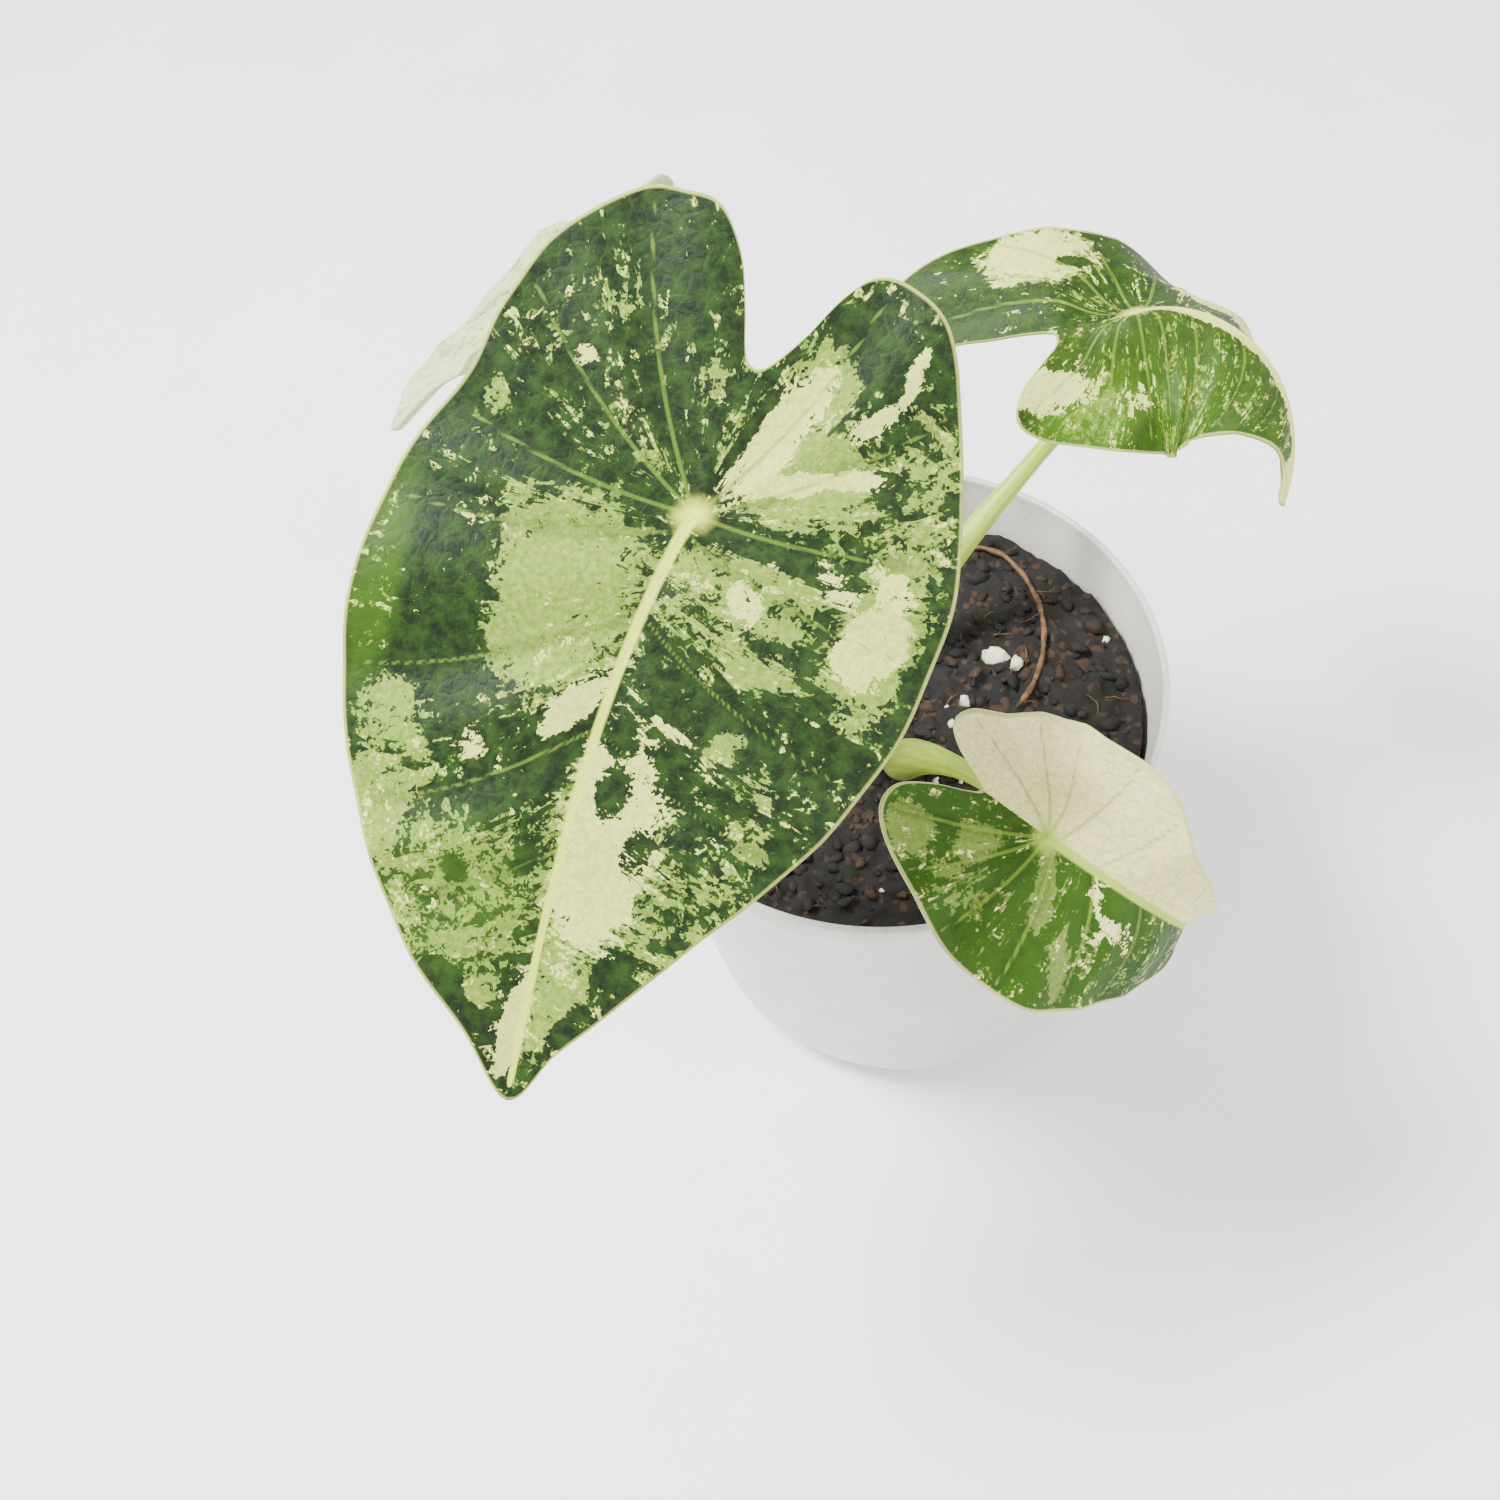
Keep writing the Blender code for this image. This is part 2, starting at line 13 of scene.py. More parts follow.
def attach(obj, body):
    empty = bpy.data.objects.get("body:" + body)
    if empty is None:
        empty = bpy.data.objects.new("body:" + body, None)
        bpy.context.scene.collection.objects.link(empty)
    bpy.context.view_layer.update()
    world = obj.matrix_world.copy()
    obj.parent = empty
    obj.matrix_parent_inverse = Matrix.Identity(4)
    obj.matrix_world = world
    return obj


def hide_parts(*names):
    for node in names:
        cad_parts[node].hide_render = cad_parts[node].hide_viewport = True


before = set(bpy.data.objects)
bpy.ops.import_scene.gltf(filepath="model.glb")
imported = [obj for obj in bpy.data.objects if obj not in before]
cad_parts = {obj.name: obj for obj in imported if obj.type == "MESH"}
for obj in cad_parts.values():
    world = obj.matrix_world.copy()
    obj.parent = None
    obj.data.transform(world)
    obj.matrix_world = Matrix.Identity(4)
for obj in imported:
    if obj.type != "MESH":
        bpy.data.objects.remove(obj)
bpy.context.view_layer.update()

# The photograph's camera: its place, how far it looks down, its roll, and its focal length in image widths.
CAMERA_PLACE = (-0.032, -0.204, 0.411)
CAMERA_DOWN = 57.5
CAMERA_ROLL = -13.6
FOCAL_SHARE = 1700 / 1500
SENSOR = 36
CLIP = (0.01, 20)
MM = 0.001
# Keeps from dividing by nought.
TINY = 1e-4
# Points closer than this are one.
MERGE = 0.00001

# The light: the white surroundings' strength, each lamp's place, size and power, and where they aim.
SURROUNDINGS = 1.5
LAMPS = {"key": ((-0.45, 0.15, 0.95), 0.35, 24), "fill": ((0.7, -0.5, 0.6), 0.6, 6)}
AIM = (0, 0, 0.12)
FLOOR_REACH = 3

# The pot, as in the CAD part.
POT_HEIGHT = 0.105
RIM_RADIUS = 0.06
RIM_BAND = 0.006
RIM_PROUD = 0.0013
WALL = 0.0016
FOOT_RADIUS = 0.04
FOOT_HEIGHT = 0.0015
HEEL_RADIUS = 0.012
HEEL_SIDE = 0.0526
DRAIN_HOLES = 5
DRAIN_RADIUS = 0.0035
DRAIN_CIRCLE = 0.024
# How finely the scene turns it, and its small roundings.
POT_STEPS = 160
DRAIN_SIDES = 24
DRAIN_CUT = 0.01
BAND_ROUND = 0.0004
BAND_UNDERCUT = 0.0002
BAND_LEAD = 0.0003
STRAIGHT_LIP = 0.6
SHARP_FROM = 40

# The soil and what lies on it.
SOIL_TOP = 0.0925
SOIL_GAP = 0.0007
EDGE_INSET = 0.0006
EDGE_FALL = 0.0022
EDGE_POWER = 6
SURFACE_DROP = 0.0006
# Its rounded foot: how far in from the pot's side, and how far up from the pot's floor.
SOIL_FOOT = ((0.008, 0), (0.0028, 0.0028))
HEEL_CLEAR = 0.001
SOIL_STEPS = 240
SOIL_RINGS = 84
LUMP_HEIGHT = 0.0024
LUMP_SIZE = 0.0075
GRAIN_HEIGHT = 0.0016
GRAIN_SIZE = 0.0032
CRUMB_HEIGHT = 0.0006
CRUMB_SIZE = 0.0011
# Loose bits: how many, their sizes, their height as a share of that, and a pebble's rows and sides.
LITTER_SEED = 7
LITTER_INSET = 0.003
LITTER = {
    "bark_chips": {"count": 520, "sizes": (0.0005, 0.0026), "flatness": 0.38, "grid": (4, 6)},
    "perlite": {"count": 46, "sizes": (0.0004, 0.0012), "flatness": 0.75, "grid": (5, 7)},
}
BIG_PERLITE = (
    (0.0262, 0.0065, 0.0031), (0.03, 0.0035, 0.002), (0.0196, 0.026, 0.0016), (0.0166, -0.0032, 0.0018),
)
NARROWNESS = 0.72
CRUMPLE = 0.55
CRUMPLE_SCALE = 1.3
ANY_HEADING = 6.28
MOST_TILT = 0.7
# A bit's middle lies this share of its height above the soil, and most bits are dark.
LITTER_LIFT = 0.25
TONE_POWER = 3.2
FIBRE_COUNT = 60
FIBRE_SIZES = (0.0025, 0.0065)
FIBRE_BOW = 0.8
FIBRE_KNOTS = 7
FIBRE_SIDES = 5
# At a fibre's ends, and how much more in its middle.
FIBRE_RADII = (0.00007, 0.0001)
FIBRE_RISE = (0.0004, 0.0007)
# The root on the soil, as it lies in the photograph.
ROOT = (
    (0.0215, 0.035), (0.0262, 0.0385), (0.0318, 0.0375), (0.0362, 0.0335), (0.039, 0.0262),
    (0.0398, 0.018), (0.0386, 0.01), (0.036, 0.003), (0.0322, -0.003), (0.028, -0.0075),
)
ROOT_RADIUS = 0.00062
ROOT_RISE = 0.0012
ROOT_SIDES = 12
ROOT_STEPS = 6
ROOT_SMOOTHINGS = 3
ROOT_SWELL = 0.18
ROOT_PACE = 0.9
ROOT_ENDS = 0.4

# The corm and the petioles, as in the CAD part.
CORM_RADIUS = 0.0085
CORM_DEPTH = 0.03
CORM_ABOVE = 0.0075
# The corm's width at shares of its height, its scars and its roughness.
CORM_SHARES = (0, 0.12, 0.3, 0.5, 0.62, 0.64, 0.76, 0.78, 0.9, 0.97, 1)
CORM_WIDTHS = (0, 0.6, 0.9, 1, 1, 0.93, 0.88, 0.78, 0.62, 0.34, 0)
CORM_ENDS = 0.002
CORM_SCARS = (0.02, 70)
CORM_ROUGH = 0.05
CORM_ROUGH_SCALES = (3, 14)
CORM_BODY = 0.94
CORM_LEAST = 0.01
CORM_ROWS = 60
CORM_SIDES = 64
PETIOLE_CIRCLE = 0.0135
PETIOLE_DEPTH = 0.014
PETIOLE_FOOT = 0.0046
PETIOLE_TOP = 0.0019
PETIOLE_FLARE = 0.0004
PETIOLE_STUB = 0.0012
PETIOLE_RINGS = 90
PETIOLE_SIDES = 24

# The blades' forms, as in the CAD part.
BLADE_THICK = 0.0008
RIB_EXTRA = 0.0011
RIB_REACH = 0.0011
QUILT = 0.0013
QUILT_REACH = 0.0062
SWAY_REACH = 0.026
SEAT_CLEAR = 0.0004
LEVEL_RADIUS = 0.004
LEVEL_FADE = 0.012
RIBS_START = 0.004
RIBS_FADE = 0.008
WAVES = 7
MARGIN_SHARE = 0.998
# Below 1, the blade's rings lie closer together at the margin.
RING_POWER = 0.9
# How far the midrib and the ribs reach, as shares of the way to the margin.
MIDRIB_SHARE = 0.97
RIB_SHARE = 0.94
RIB_BOW = 0.1
RIB_KNOTS = 13
RIB_MARGIN = 68
# Where each rib leaves the midrib, as a share of its length, and at what angle it ends.
RIBS = ((0, 156), (0, 128), (0, 100), (0.03, 74), (0.17, 50), (0.36, 31), (0.56, 17))

# Outlines: the angle from the tip, positive on the blade's right, and the radius as a share of the midrib.
WIDE_RIGHT = ((0, 1), (6, 0.9), (16, 0.815), (32, 0.7), (52, 0.588), (74, 0.492), (90, 0.445))
WIDE_LEFT = (
    (249, 0.415), (270, 0.425), (294, 0.465), (310, 0.51), (325, 0.575), (340, 0.68), (351, 0.815),
    (356, 0.9),
)
WIDE_OUTLINE = WIDE_RIGHT + (
    (106, 0.412), (120, 0.437), (135, 0.476), (152, 0.5), (161, 0.485), (167, 0.465), (172, 0.4),
    (175.5, 0.325), (179, 0.262), (184, 0.24), (189, 0.255), (194, 0.32), (196.5, 0.4), (199.5, 0.452),
    (205, 0.476), (215, 0.48), (230, 0.44),
) + WIDE_LEFT
SHORT_LOBED_OUTLINE = WIDE_RIGHT + (
    (106, 0.395), (120, 0.375), (135, 0.36), (152, 0.345), (161, 0.335), (168, 0.31), (174, 0.27),
    (179, 0.245), (184, 0.24), (189, 0.255), (194, 0.32), (199.5, 0.39), (205, 0.42), (215, 0.44),
    (230, 0.43),
) + WIDE_LEFT
LONG_LOBED_OUTLINE = (
    (0, 1), (4, 0.89), (10, 0.8), (20, 0.72), (35, 0.64), (50, 0.58), (66, 0.53), (90, 0.475),
    (111, 0.455), (130, 0.48), (145, 0.525), (155, 0.545), (161, 0.52), (166, 0.44), (170, 0.34),
    (175, 0.275), (180, 0.26), (185, 0.275), (190, 0.36), (194, 0.5), (199, 0.69), (206, 0.795),
    (216, 0.765), (230, 0.6), (248, 0.455), (270, 0.41), (294, 0.45), (310, 0.53), (325, 0.61),
    (340, 0.7), (350, 0.8), (356, 0.9),
)
LOPSIDED_OUTLINE = (
    (0, 1), (4, 0.87), (10, 0.77), (20, 0.69), (35, 0.61), (50, 0.555), (66, 0.52), (90, 0.47),
    (111, 0.445), (130, 0.46), (145, 0.505), (156, 0.53), (164, 0.5), (169, 0.4), (173, 0.3),
    (177, 0.25), (181, 0.24), (185, 0.25), (189, 0.3), (193, 0.4), (198, 0.48), (206, 0.5),
    (217, 0.475), (232, 0.44), (250, 0.42), (270, 0.42), (294, 0.415), (310, 0.4), (325, 0.415),
    (340, 0.51), (350, 0.66), (356, 0.83),
)
# In degrees: heading from +X towards +Y, dip of the tip, bank of the right side down, folds of the two halves.
# Per metre: curls before and behind the joint, droop of the two halves, and hook, a bend to the right in the
# blade's own plane. Sway is how far the midrib alone bows to the right.
BLADES = {
    "front_blade": {
        "outline": WIDE_OUTLINE, "length": 0.101, "spokes": 300, "rings": 70,
        "joint": (-0.0317, -0.0299, 0.2077),
        "heading": -127.9, "dip": 30.5, "bank": -20.2, "curl": (1.8, 2), "fold_front": (3.3, 3.5),
        "fold_back": (3.3, 3.5), "droop": (4.1, 4.2), "hook": 0, "sway": 0.0042, "wave": 0.001,
    },
    "right_blade": {
        "outline": LONG_LOBED_OUTLINE, "length": 0.0615, "spokes": 240, "rings": 50,
        "joint": (0.0634, 0.0355, 0.16),
        "heading": -5, "dip": -6.6, "bank": -28, "curl": (37.6, -10), "fold_front": (-51.8, 0),
        "fold_back": (-62.2, 48), "droop": (9.8, 6.5), "hook": 8, "sway": 0, "wave": 0.0012,
    },
    "low_blade": {
        "outline": LOPSIDED_OUTLINE, "length": 0.0585, "spokes": 220, "rings": 50,
        "joint": (0.0153, -0.0661, 0.1439),
        "heading": -53.4, "dip": 6.5, "bank": 27.7, "curl": (38.8, 19.8), "fold_front": (-1.7, 27.7),
        "fold_back": (13.3, 34.5), "droop": (-1, -3.7), "hook": 0, "sway": 0, "wave": 0.0008,
    },
    "back_blade": {
        "outline": SHORT_LOBED_OUTLINE, "length": 0.06, "spokes": 220, "rings": 44,
        "joint": (-0.0394, 0.0816, 0.1708),
        "heading": 179, "dip": 30.3, "bank": 23.2, "curl": (1, 12), "fold_front": (4.5, 8),
        "fold_back": (-25, -7.8), "droop": (2.6, 7.6), "hook": -10, "sway": 0, "wave": 0.001,
    },
}
# Each petiole's foot as an angle round the corm, and how far it rises before it arches over. Slant is how far
# it comes from behind the blade and from its left, against straight from below, along its neck.
PETIOLE_NECK = 0.3
PETIOLES = {
    "front_blade": {"foot": 214, "rise": 0.45, "slant": (0, 0)},
    "right_blade": {"foot": 80, "rise": 0.33, "slant": (0.4, 0.6)},
    "low_blade": {"foot": 268, "rise": 0.28, "slant": (1, 0.2)},
    "back_blade": {"foot": 150, "rise": 0.45, "slant": (0.2, 0)},
}

# How strongly pale, cream and lively green show: 0.5 is flecked, 1 is solid. The ground is a blade's right half,
# then its left. The patches over it, in order, are in millimetres on the flat blade: each is its middle (to the
# right, to the tip), its half sizes, its turn from the midrib to the right in degrees, and its strength.
KINDS = ("pale", "cream", "lively")
PATCH_REACH = 1.45
PATCH_FADE = 0.9
HALVES_BLEND = 0.6
GROUND = {
    "front_blade": ((0.27, 0, 0), (0.29, 0, 0)),
    "right_blade": ((0.33, 0, 0.35), (0.2, 0, 0.1)),
    "low_blade": ((0.3, 0, 0.9), (0.9, 1, 0)),
    "back_blade": ((0.8, 0.3, 0), (0.85, 0.34, 0)),
}
PATCHES = {
    "front_blade": {
        "pale": (
            (15, 18, 14, 14.5, 0, 0.88), (34, 25, 9, 15, 10, 0.1), (43, 24, 3, 16, -5, 0.3),
            (5.5, 44, 3.5, 6, 20, 0.05), (14.5, 51, 4, 7, 55, 0.12), (25, 37, 4, 4, 0, 0.1),
            (32, 52, 6, 8, -30, 0.58), (36, 44, 6, 5, 0, 0.72), (16, 68, 14, 13, 0, 0.6),
            (5.5, 60, 1.8, 2.5, 0, 0), (17, 65, 2, 2, 0, 0), (21, 72, 2, 2.5, 0, 0),
            (8, 88, 2.5, 2.2, 0, 0), (12, 84, 2.2, 2.2, 0, 0), (16, 81, 2.2, 2, 0, 0),
            (8, 82, 2.6, 4, 0, 0.66), (25, 72, 3, 8, -50, 0.45), (34, 61, 3, 8, -35, 0.8),
            (27, 4, 3, 2.5, 0, 0.5), (9, -6, 3, 2.5, 0, 0.5), (35, -8, 3, 3, 0, 0.5),
            (21, -28, 3, 3, 0, 0.5), (4, -20, 2, 4, 0, 0.5), (12, -35, 4, 4, 0, 0),
            (-6, 53, 8, 19, 0, 0.95), (-5, 46, 2.4, 4, 0, 0.1), (-4, 37, 2.2, 3, 0, 0.1),
            (-11, 54, 2.2, 4, 0, 0.1), (-4, 81, 5, 12, 5, 0.75), (-7, 86, 1.8, 6, 25, 0.1),
            (-13, 73, 3, 3, 0, 0), (-19, 63, 5, 11, 25, 0.5), (-22, 35, 18, 13, 0, 0.22),
            (-24, 38, 3.2, 2.6, 40, 0.58), (-26, 46, 3.6, 2.5, 60, 0.58), (-18, 33, 2.2, 3.2, 50, 0.6),
            (-18, 14, 18, 7.5, 0, 0.52), (-19, 21, 5, 1.8, 0, 0.85), (-19, 13, 4, 2, 0, 0.8),
            (-34, 8, 5.5, 15, 0, 0.78), (-13, 7.5, 11.5, 3.4, 0, 0.75), (-15, 2.6, 15, 1.2, 0, 0.05),
            (-25, -6, 5, 8, 0, 0.42), (-13, -11, 11, 8, 0, 0.9), (-32.5, -17.5, 6, 11, 0, 0.5),
            (-19, -33, 5, 5, 0, 0), (-13, -26, 5, 6, 0, 0.85), (-3.6, -13, 0.9, 10, 18, 0),
            (1, -10, 1, 8, 0, 0.05),
        ),
        "cream": (
            (5, 34.5, 2.6, 7.5, 35, 0.95), (20, 45, 3.5, 2.2, 40, 0.62), (24, -18, 2.4, 2, 0, 0.55),
            (-6, 52, 7, 20, 0, 0.72), (-5, 46, 2.4, 4, 0, 0.2), (-4, 37, 2.4, 3, 0, 0.2),
            (-11, 54, 2.2, 4, 0, 0.3), (-12, 33, 2.5, 1.5, 0, 0.5), (-13, 10, 3.5, 2, 60, 0.55),
            (-33, 11, 4.6, 6.2, 25, 0.8), (-34, 2, 3.6, 2.4, 30, 0.62), (-25, 4, 3.6, 2, 20, 0.58),
            (-13, -9, 1.6, 7.5, 65, 0.8), (-23, -13, 1.5, 5, 72, 0.75), (-22.5, -22.5, 1.6, 4.6, 35, 0.8),
            (-25.8, -31, 1.4, 5, 3, 0.8), (-8.5, -16, 3.6, 13, 21, 0.85), (-3.6, -13, 0.7, 9, 18, 0.1),
            (1.4, 88, 2.2, 9, 3, 0.9),
        ),
        "lively": ((44, 25, 4, 18, -5, 0.6), (16, 69, 13, 12, 0, 0.35)),
    },
    "right_blade": {
        "pale": (
            (17, -16, 6, 9.5, 0, 0.55), (23, 17, 6, 17, 0, 0.44), (-19.5, -13.5, 7, 10, 15, 0.95),
            (-16, -8, 1.5, 3, 20, 0), (-7, -7.5, 3, 5.5, 0, 0.4), (-8, 6, 13, 4.5, 0, 0.3),
            (-5, 48, 3, 5, 20, 0),
        ),
        "cream": (
            (17, -3.5, 3, 4.5, 0, 0.5), (9, -21, 4.2, 9, 15, 0.9), (-14, 24, 5, 17, -10, 0.8),
            (-19.5, -13.5, 6.5, 9.5, 15, 0.62), (-16, -8, 1.5, 3, 20, 0), (0.6, 28, 1.5, 34, 0, 0.95),
            (0, 57, 6, 6, 0, 0.95), (-5, 48, 3, 5, 20, 0),
        ),
        "lively": ((17, -14, 7, 12, 0, 1), (20, 16, 12, 17, 0, 0.6)),
    },
    "low_blade": {
        "pale": (
            (8, 5, 1.8, 7.5, 68, 0.8), (18, 15.5, 1.8, 6.5, 60, 0.8), (3, 17.5, 2.6, 3.4, 20, 0),
            (8, -9.5, 4, 3.5, 30, 0.85), (16.5, -7.5, 4.5, 5.5, 0, 0.5), (13, -21.5, 4, 4.5, 0, 0.97),
            (10, 38, 12, 14, 0, 0.36),
        ),
        "cream": ((4.5, 17, 2.8, 8, 35, 0.7), (3, 17.5, 2.6, 3.4, 20, 0)),
        "lively": ((10, 42, 12, 14, 0, 0.15),),
    },
    "back_blade": {
        "pale": ((12, 30, 5, 10, 20, 0.5),),
        "cream": ((12, 30, 5, 10, 20, 0.2),),
    },
}

# How far the patterns run on from rib to rib, how far apart the halves lie, and how the midrib's line narrows.
RIB_SPACING = 13
HALVES_APART = 150
MIDRIB_TAPER = 0.9


def shade(red, green, blue):
    """A screen colour from 0 to 255, as the renderer wants it."""
    parts = []
    for part in (red, green, blue):
        level = part / 255
        parts.append(level / 12.92 if level <= 0.04045 else ((level + 0.055) / 1.055) ** 2.4)
    return (*parts, 1)


# Each blade's colours as they look on a screen, from 0 to 255.
LEAF_TONES = ("deep", "mid", "pale", "cream", "lively", "rib")
LEAF_COLOURS = {
    "front_blade": (
        (11, 28, 8), (36, 62, 15), (104, 136, 38), (212, 218, 118), (66, 104, 8), (214, 226, 84),
    ),
    "right_blade": (
        (16, 36, 8), (44, 70, 10), (116, 146, 36), (216, 220, 128), (70, 108, 4), (216, 224, 110),
    ),
    # The low blade's cream is painted lighter than the others': painted light where it faces away from the
    # lamps.
    "low_blade": ((16, 38, 4), (40, 72, 4), (124, 154, 48), (240, 231, 160), (50, 86, 3), (170, 196, 70)),
    "back_blade": (
        (84, 112, 50), (120, 146, 70), (180, 194, 130), (206, 212, 164), (140, 170, 50), (200, 212, 120),
    ),
}


def smooth_step(x):
    x = np.clip(x, 0, 1)
    return x * x * (3 - 2 * x)


class Shades:
    """A material's node tree, with short ways to add what the looks need."""

    def __init__(self, name, roughness):
        self.material = bpy.data.materials.new(name)
        self.material.use_nodes = True
        self.tree = self.material.node_tree
        self.shader = self.tree.nodes["Principled BSDF"]
        self.shader.inputs["Roughness"].default_value = roughness

    def feed(self, socket, source):
        if isinstance(source, bpy.types.NodeSocket):
            self.tree.links.new(source, socket)
        else:
            socket.default_value = source

    def node(self, kind, *sources, output=0, **settings):
        """An output of a new node, its inputs fed in order, or by name from a dictionary."""
        made = self.tree.nodes.new("ShaderNode" + kind)
        for key, setting in settings.items():
            setattr(made, key, setting)
        by_name = sources and isinstance(sources[0], dict)
        for socket, source in (sources[0].items() if by_name else enumerate(sources)):
            self.feed(made.inputs[socket], source)
        return made.outputs[output]

    def times(self, a, b):
        return self.node("Math", a, b, operation="MULTIPLY")

    def plus(self, a, b):
        return self.node("Math", a, b, operation="ADD")

    def combine(self, x, y, z):
        return self.node("CombineXYZ", x, y, z)

    def split(self, vector):
        return [self.node("SeparateXYZ", vector, output=axis) for axis in "XYZ"]

    def vector(self, operation, a, b):
        return self.node("VectorMath", a, b, operation=operation)

    def length(self, vector):
        return self.node("VectorMath", vector, operation="LENGTH", output="Value")

    def read(self, name):
        return self.node("Attribute", attribute_name=name, output="Vector")

    def place(self):
        return self.node("TexCoord", output="Object")

    def noise(self, vector, scale, detail=3, rough=0.5, colour=False):
        given = {"Vector": vector, "Scale": scale, "Detail": detail, "Roughness": rough}
        return self.node("TexNoise", given, output="Color" if colour else "Fac")

    def cells(self, vector, scale):
        """A number from 0 to 1 for each cell."""
        return self.split(self.node("TexVoronoi", {"Vector": vector, "Scale": scale}, output="Color"))[0]

    def seams(self, vector, scale):
        """How far each place is from its cell's edge."""
        given = {"Vector": vector, "Scale": scale}
        return self.node("TexVoronoi", given, feature="DISTANCE_TO_EDGE", output="Distance")

    def rise(self, source, low, high, floor=0, top=1):
        """Smoothly from floor to top as the source goes from low to high."""
        return self.node("MapRange", source, low, high, floor, top, interpolation_type="SMOOTHSTEP")

    def line(self, gap, full, gone, strength=1):
        """A line's strength at a gap from it: full up to one gap, and none from another on."""
        return self.rise(gap, full, gone, strength, 0)

    def mix(self, factor, a, b):
        return self.node("Mix", {"Factor": factor, 6: a, 7: b}, data_type="RGBA", output=2)

    def finish(self, colour, roughness, bump=None):
        """The material. Roughness is (source, low, high), bump is (height, distance, strength)."""
        source, low, high = roughness
        self.feed(self.shader.inputs["Base Color"], colour)
        self.feed(self.shader.inputs["Roughness"], self.rise(source, 0, 1, low, high))
        if bump:
            given = dict(zip(("Height", "Distance", "Strength"), bump))
            self.feed(self.shader.inputs["Normal"], self.node("Bump", given))
        return self.material


def leaf_patterns(look):
    """Where flecks lie, the clouds along the ribs, and how ragged the patches are."""
    flat = look.read("flat")
    run, out, _ = look.split(look.read("veins"))
    bend = look.vector("SUBTRACT", look.noise(flat, scale=0.16, detail=2, colour=True), (0.5, 0.5, 0.5))
    streak = look.vector("ADD", look.combine(look.times(run, 0.62), look.times(out, 0.2), 0), bend)
    place = look.vector("ADD", flat, look.vector("MULTIPLY", bend, (3, 3, 0)))
    blocks = look.cells(streak, scale=1)
    flecks = look.cells(place, scale=0.62)
    specks = look.cells(place, scale=1.9)
    clouds = look.noise(streak, scale=1.5, detail=4, rough=0.65)
    shares = ((blocks, 0.34), (flecks, 0.3), (specks, 0.26), (clouds, 0.8))
    ragged = -sum(share for _, share in shares) / 2
    for pattern, share in shares:
        ragged = look.plus(ragged, look.times(pattern, share))
    return flat, place, clouds, ragged


def leaf_patches(look, colours, flat, ragged, mottle):
    """Mottled green with pale and cream patches, and where those are."""
    pale, cream, lively = look.split(look.read("zones"))
    pale_here = look.rise(look.plus(pale, ragged), 0.46, 0.53)
    creamy = look.plus(cream, look.times(pale_here, 0.2))
    cream_here = look.rise(look.plus(creamy, ragged), 0.47, 0.53)
    green = look.mix(look.rise(mottle, 0.35, 0.68), colours["deep"], colours["mid"])
    green = look.mix(look.times(lively, 0.8), green, colours["lively"])
    soft = look.noise(flat, scale=0.9, detail=3, rough=0.6)
    lighter = look.mix(look.rise(soft, 0.3, 0.75), colours["pale"], colours["cream"])
    lighter = look.mix(0.3, colours["pale"], lighter)
    washed = look.mix(look.times(lively, 0.55), lighter, colours["lively"])
    stained = look.mix(look.rise(soft, 0.35, 0.8, 0, 0.35), colours["cream"], colours["pale"])
    body = look.mix(cream_here, look.mix(pale_here, green, washed), stained)
    return body, pale_here, cream_here


def leaf_lines(look, colours, body, place, clouds, cream_here):
    """The side ribs with dark flanks, the midrib, the bright knot at the joint and the pale margin."""
    to_rib, to_margin, to_midrib = look.split(look.read("gaps"))
    beside = look.line(to_rib, full=0.3, gone=2.2, strength=0.45)
    beside = look.times(beside, look.rise(clouds, 0.35, 0.6))
    rib = look.line(to_rib, full=0.14, gone=0.48, strength=0.55)
    midrib = look.line(to_midrib, full=0.62, gone=1.35, strength=0.95)
    knot = look.line(look.length(place), full=0.6, gone=4.2, strength=0.9)
    edge = look.line(to_margin, full=0.25, gone=0.75, strength=0.8)
    body = look.mix(beside, body, look.mix(cream_here, colours["deep"], body))
    for strength, tone in ((rib, "pale"), (midrib, "rib"), (knot, "rib")):
        body = look.mix(strength, body, colours[tone])
    return look.mix(edge, body, look.mix(0.6, colours["pale"], colours["cream"]))


def leaf_material(name, under=False):
    """Green broken by ragged pale and cream patches along the ribs, with a fine net of veins."""
    look = Shades(name + ("_under" if under else ""), 0.42)
    colours = {tone: shade(*screen) for tone, screen in zip(LEAF_TONES, LEAF_COLOURS[name])}
    flat, place, clouds, ragged = leaf_patterns(look)
    mottle = look.noise(flat, scale=0.33, detail=5, rough=0.62)
    body, pale_here, cream_here = leaf_patches(look, colours, flat, ragged, mottle)
    net = look.seams(place, scale=0.42)
    fine = look.seams(place, scale=1.15)
    vein = look.mix(0.5, colours["pale"], colours["lively"])
    seen = look.plus(look.times(pale_here, 0.16), 0.05)
    body = look.mix(look.times(look.line(net, full=0, gone=0.075), seen), body, vein)
    faint = look.times(look.line(fine, full=0, gone=0.1), look.times(seen, 0.5))
    body = leaf_lines(look, colours, look.mix(faint, body, vein), place, clouds, cream_here)
    if under:
        body = look.mix(0.45, body, colours["pale"])
    height = look.times(look.rise(net, 0, 0.22), 0.7)
    height = look.plus(height, look.times(look.rise(fine, 0, 0.3), 0.25))
    look.shader.inputs["Specular IOR Level"].default_value = 0.2
    return look.finish(body, (mottle, 0.46, 0.64), (height, 0.00012, 0.5))


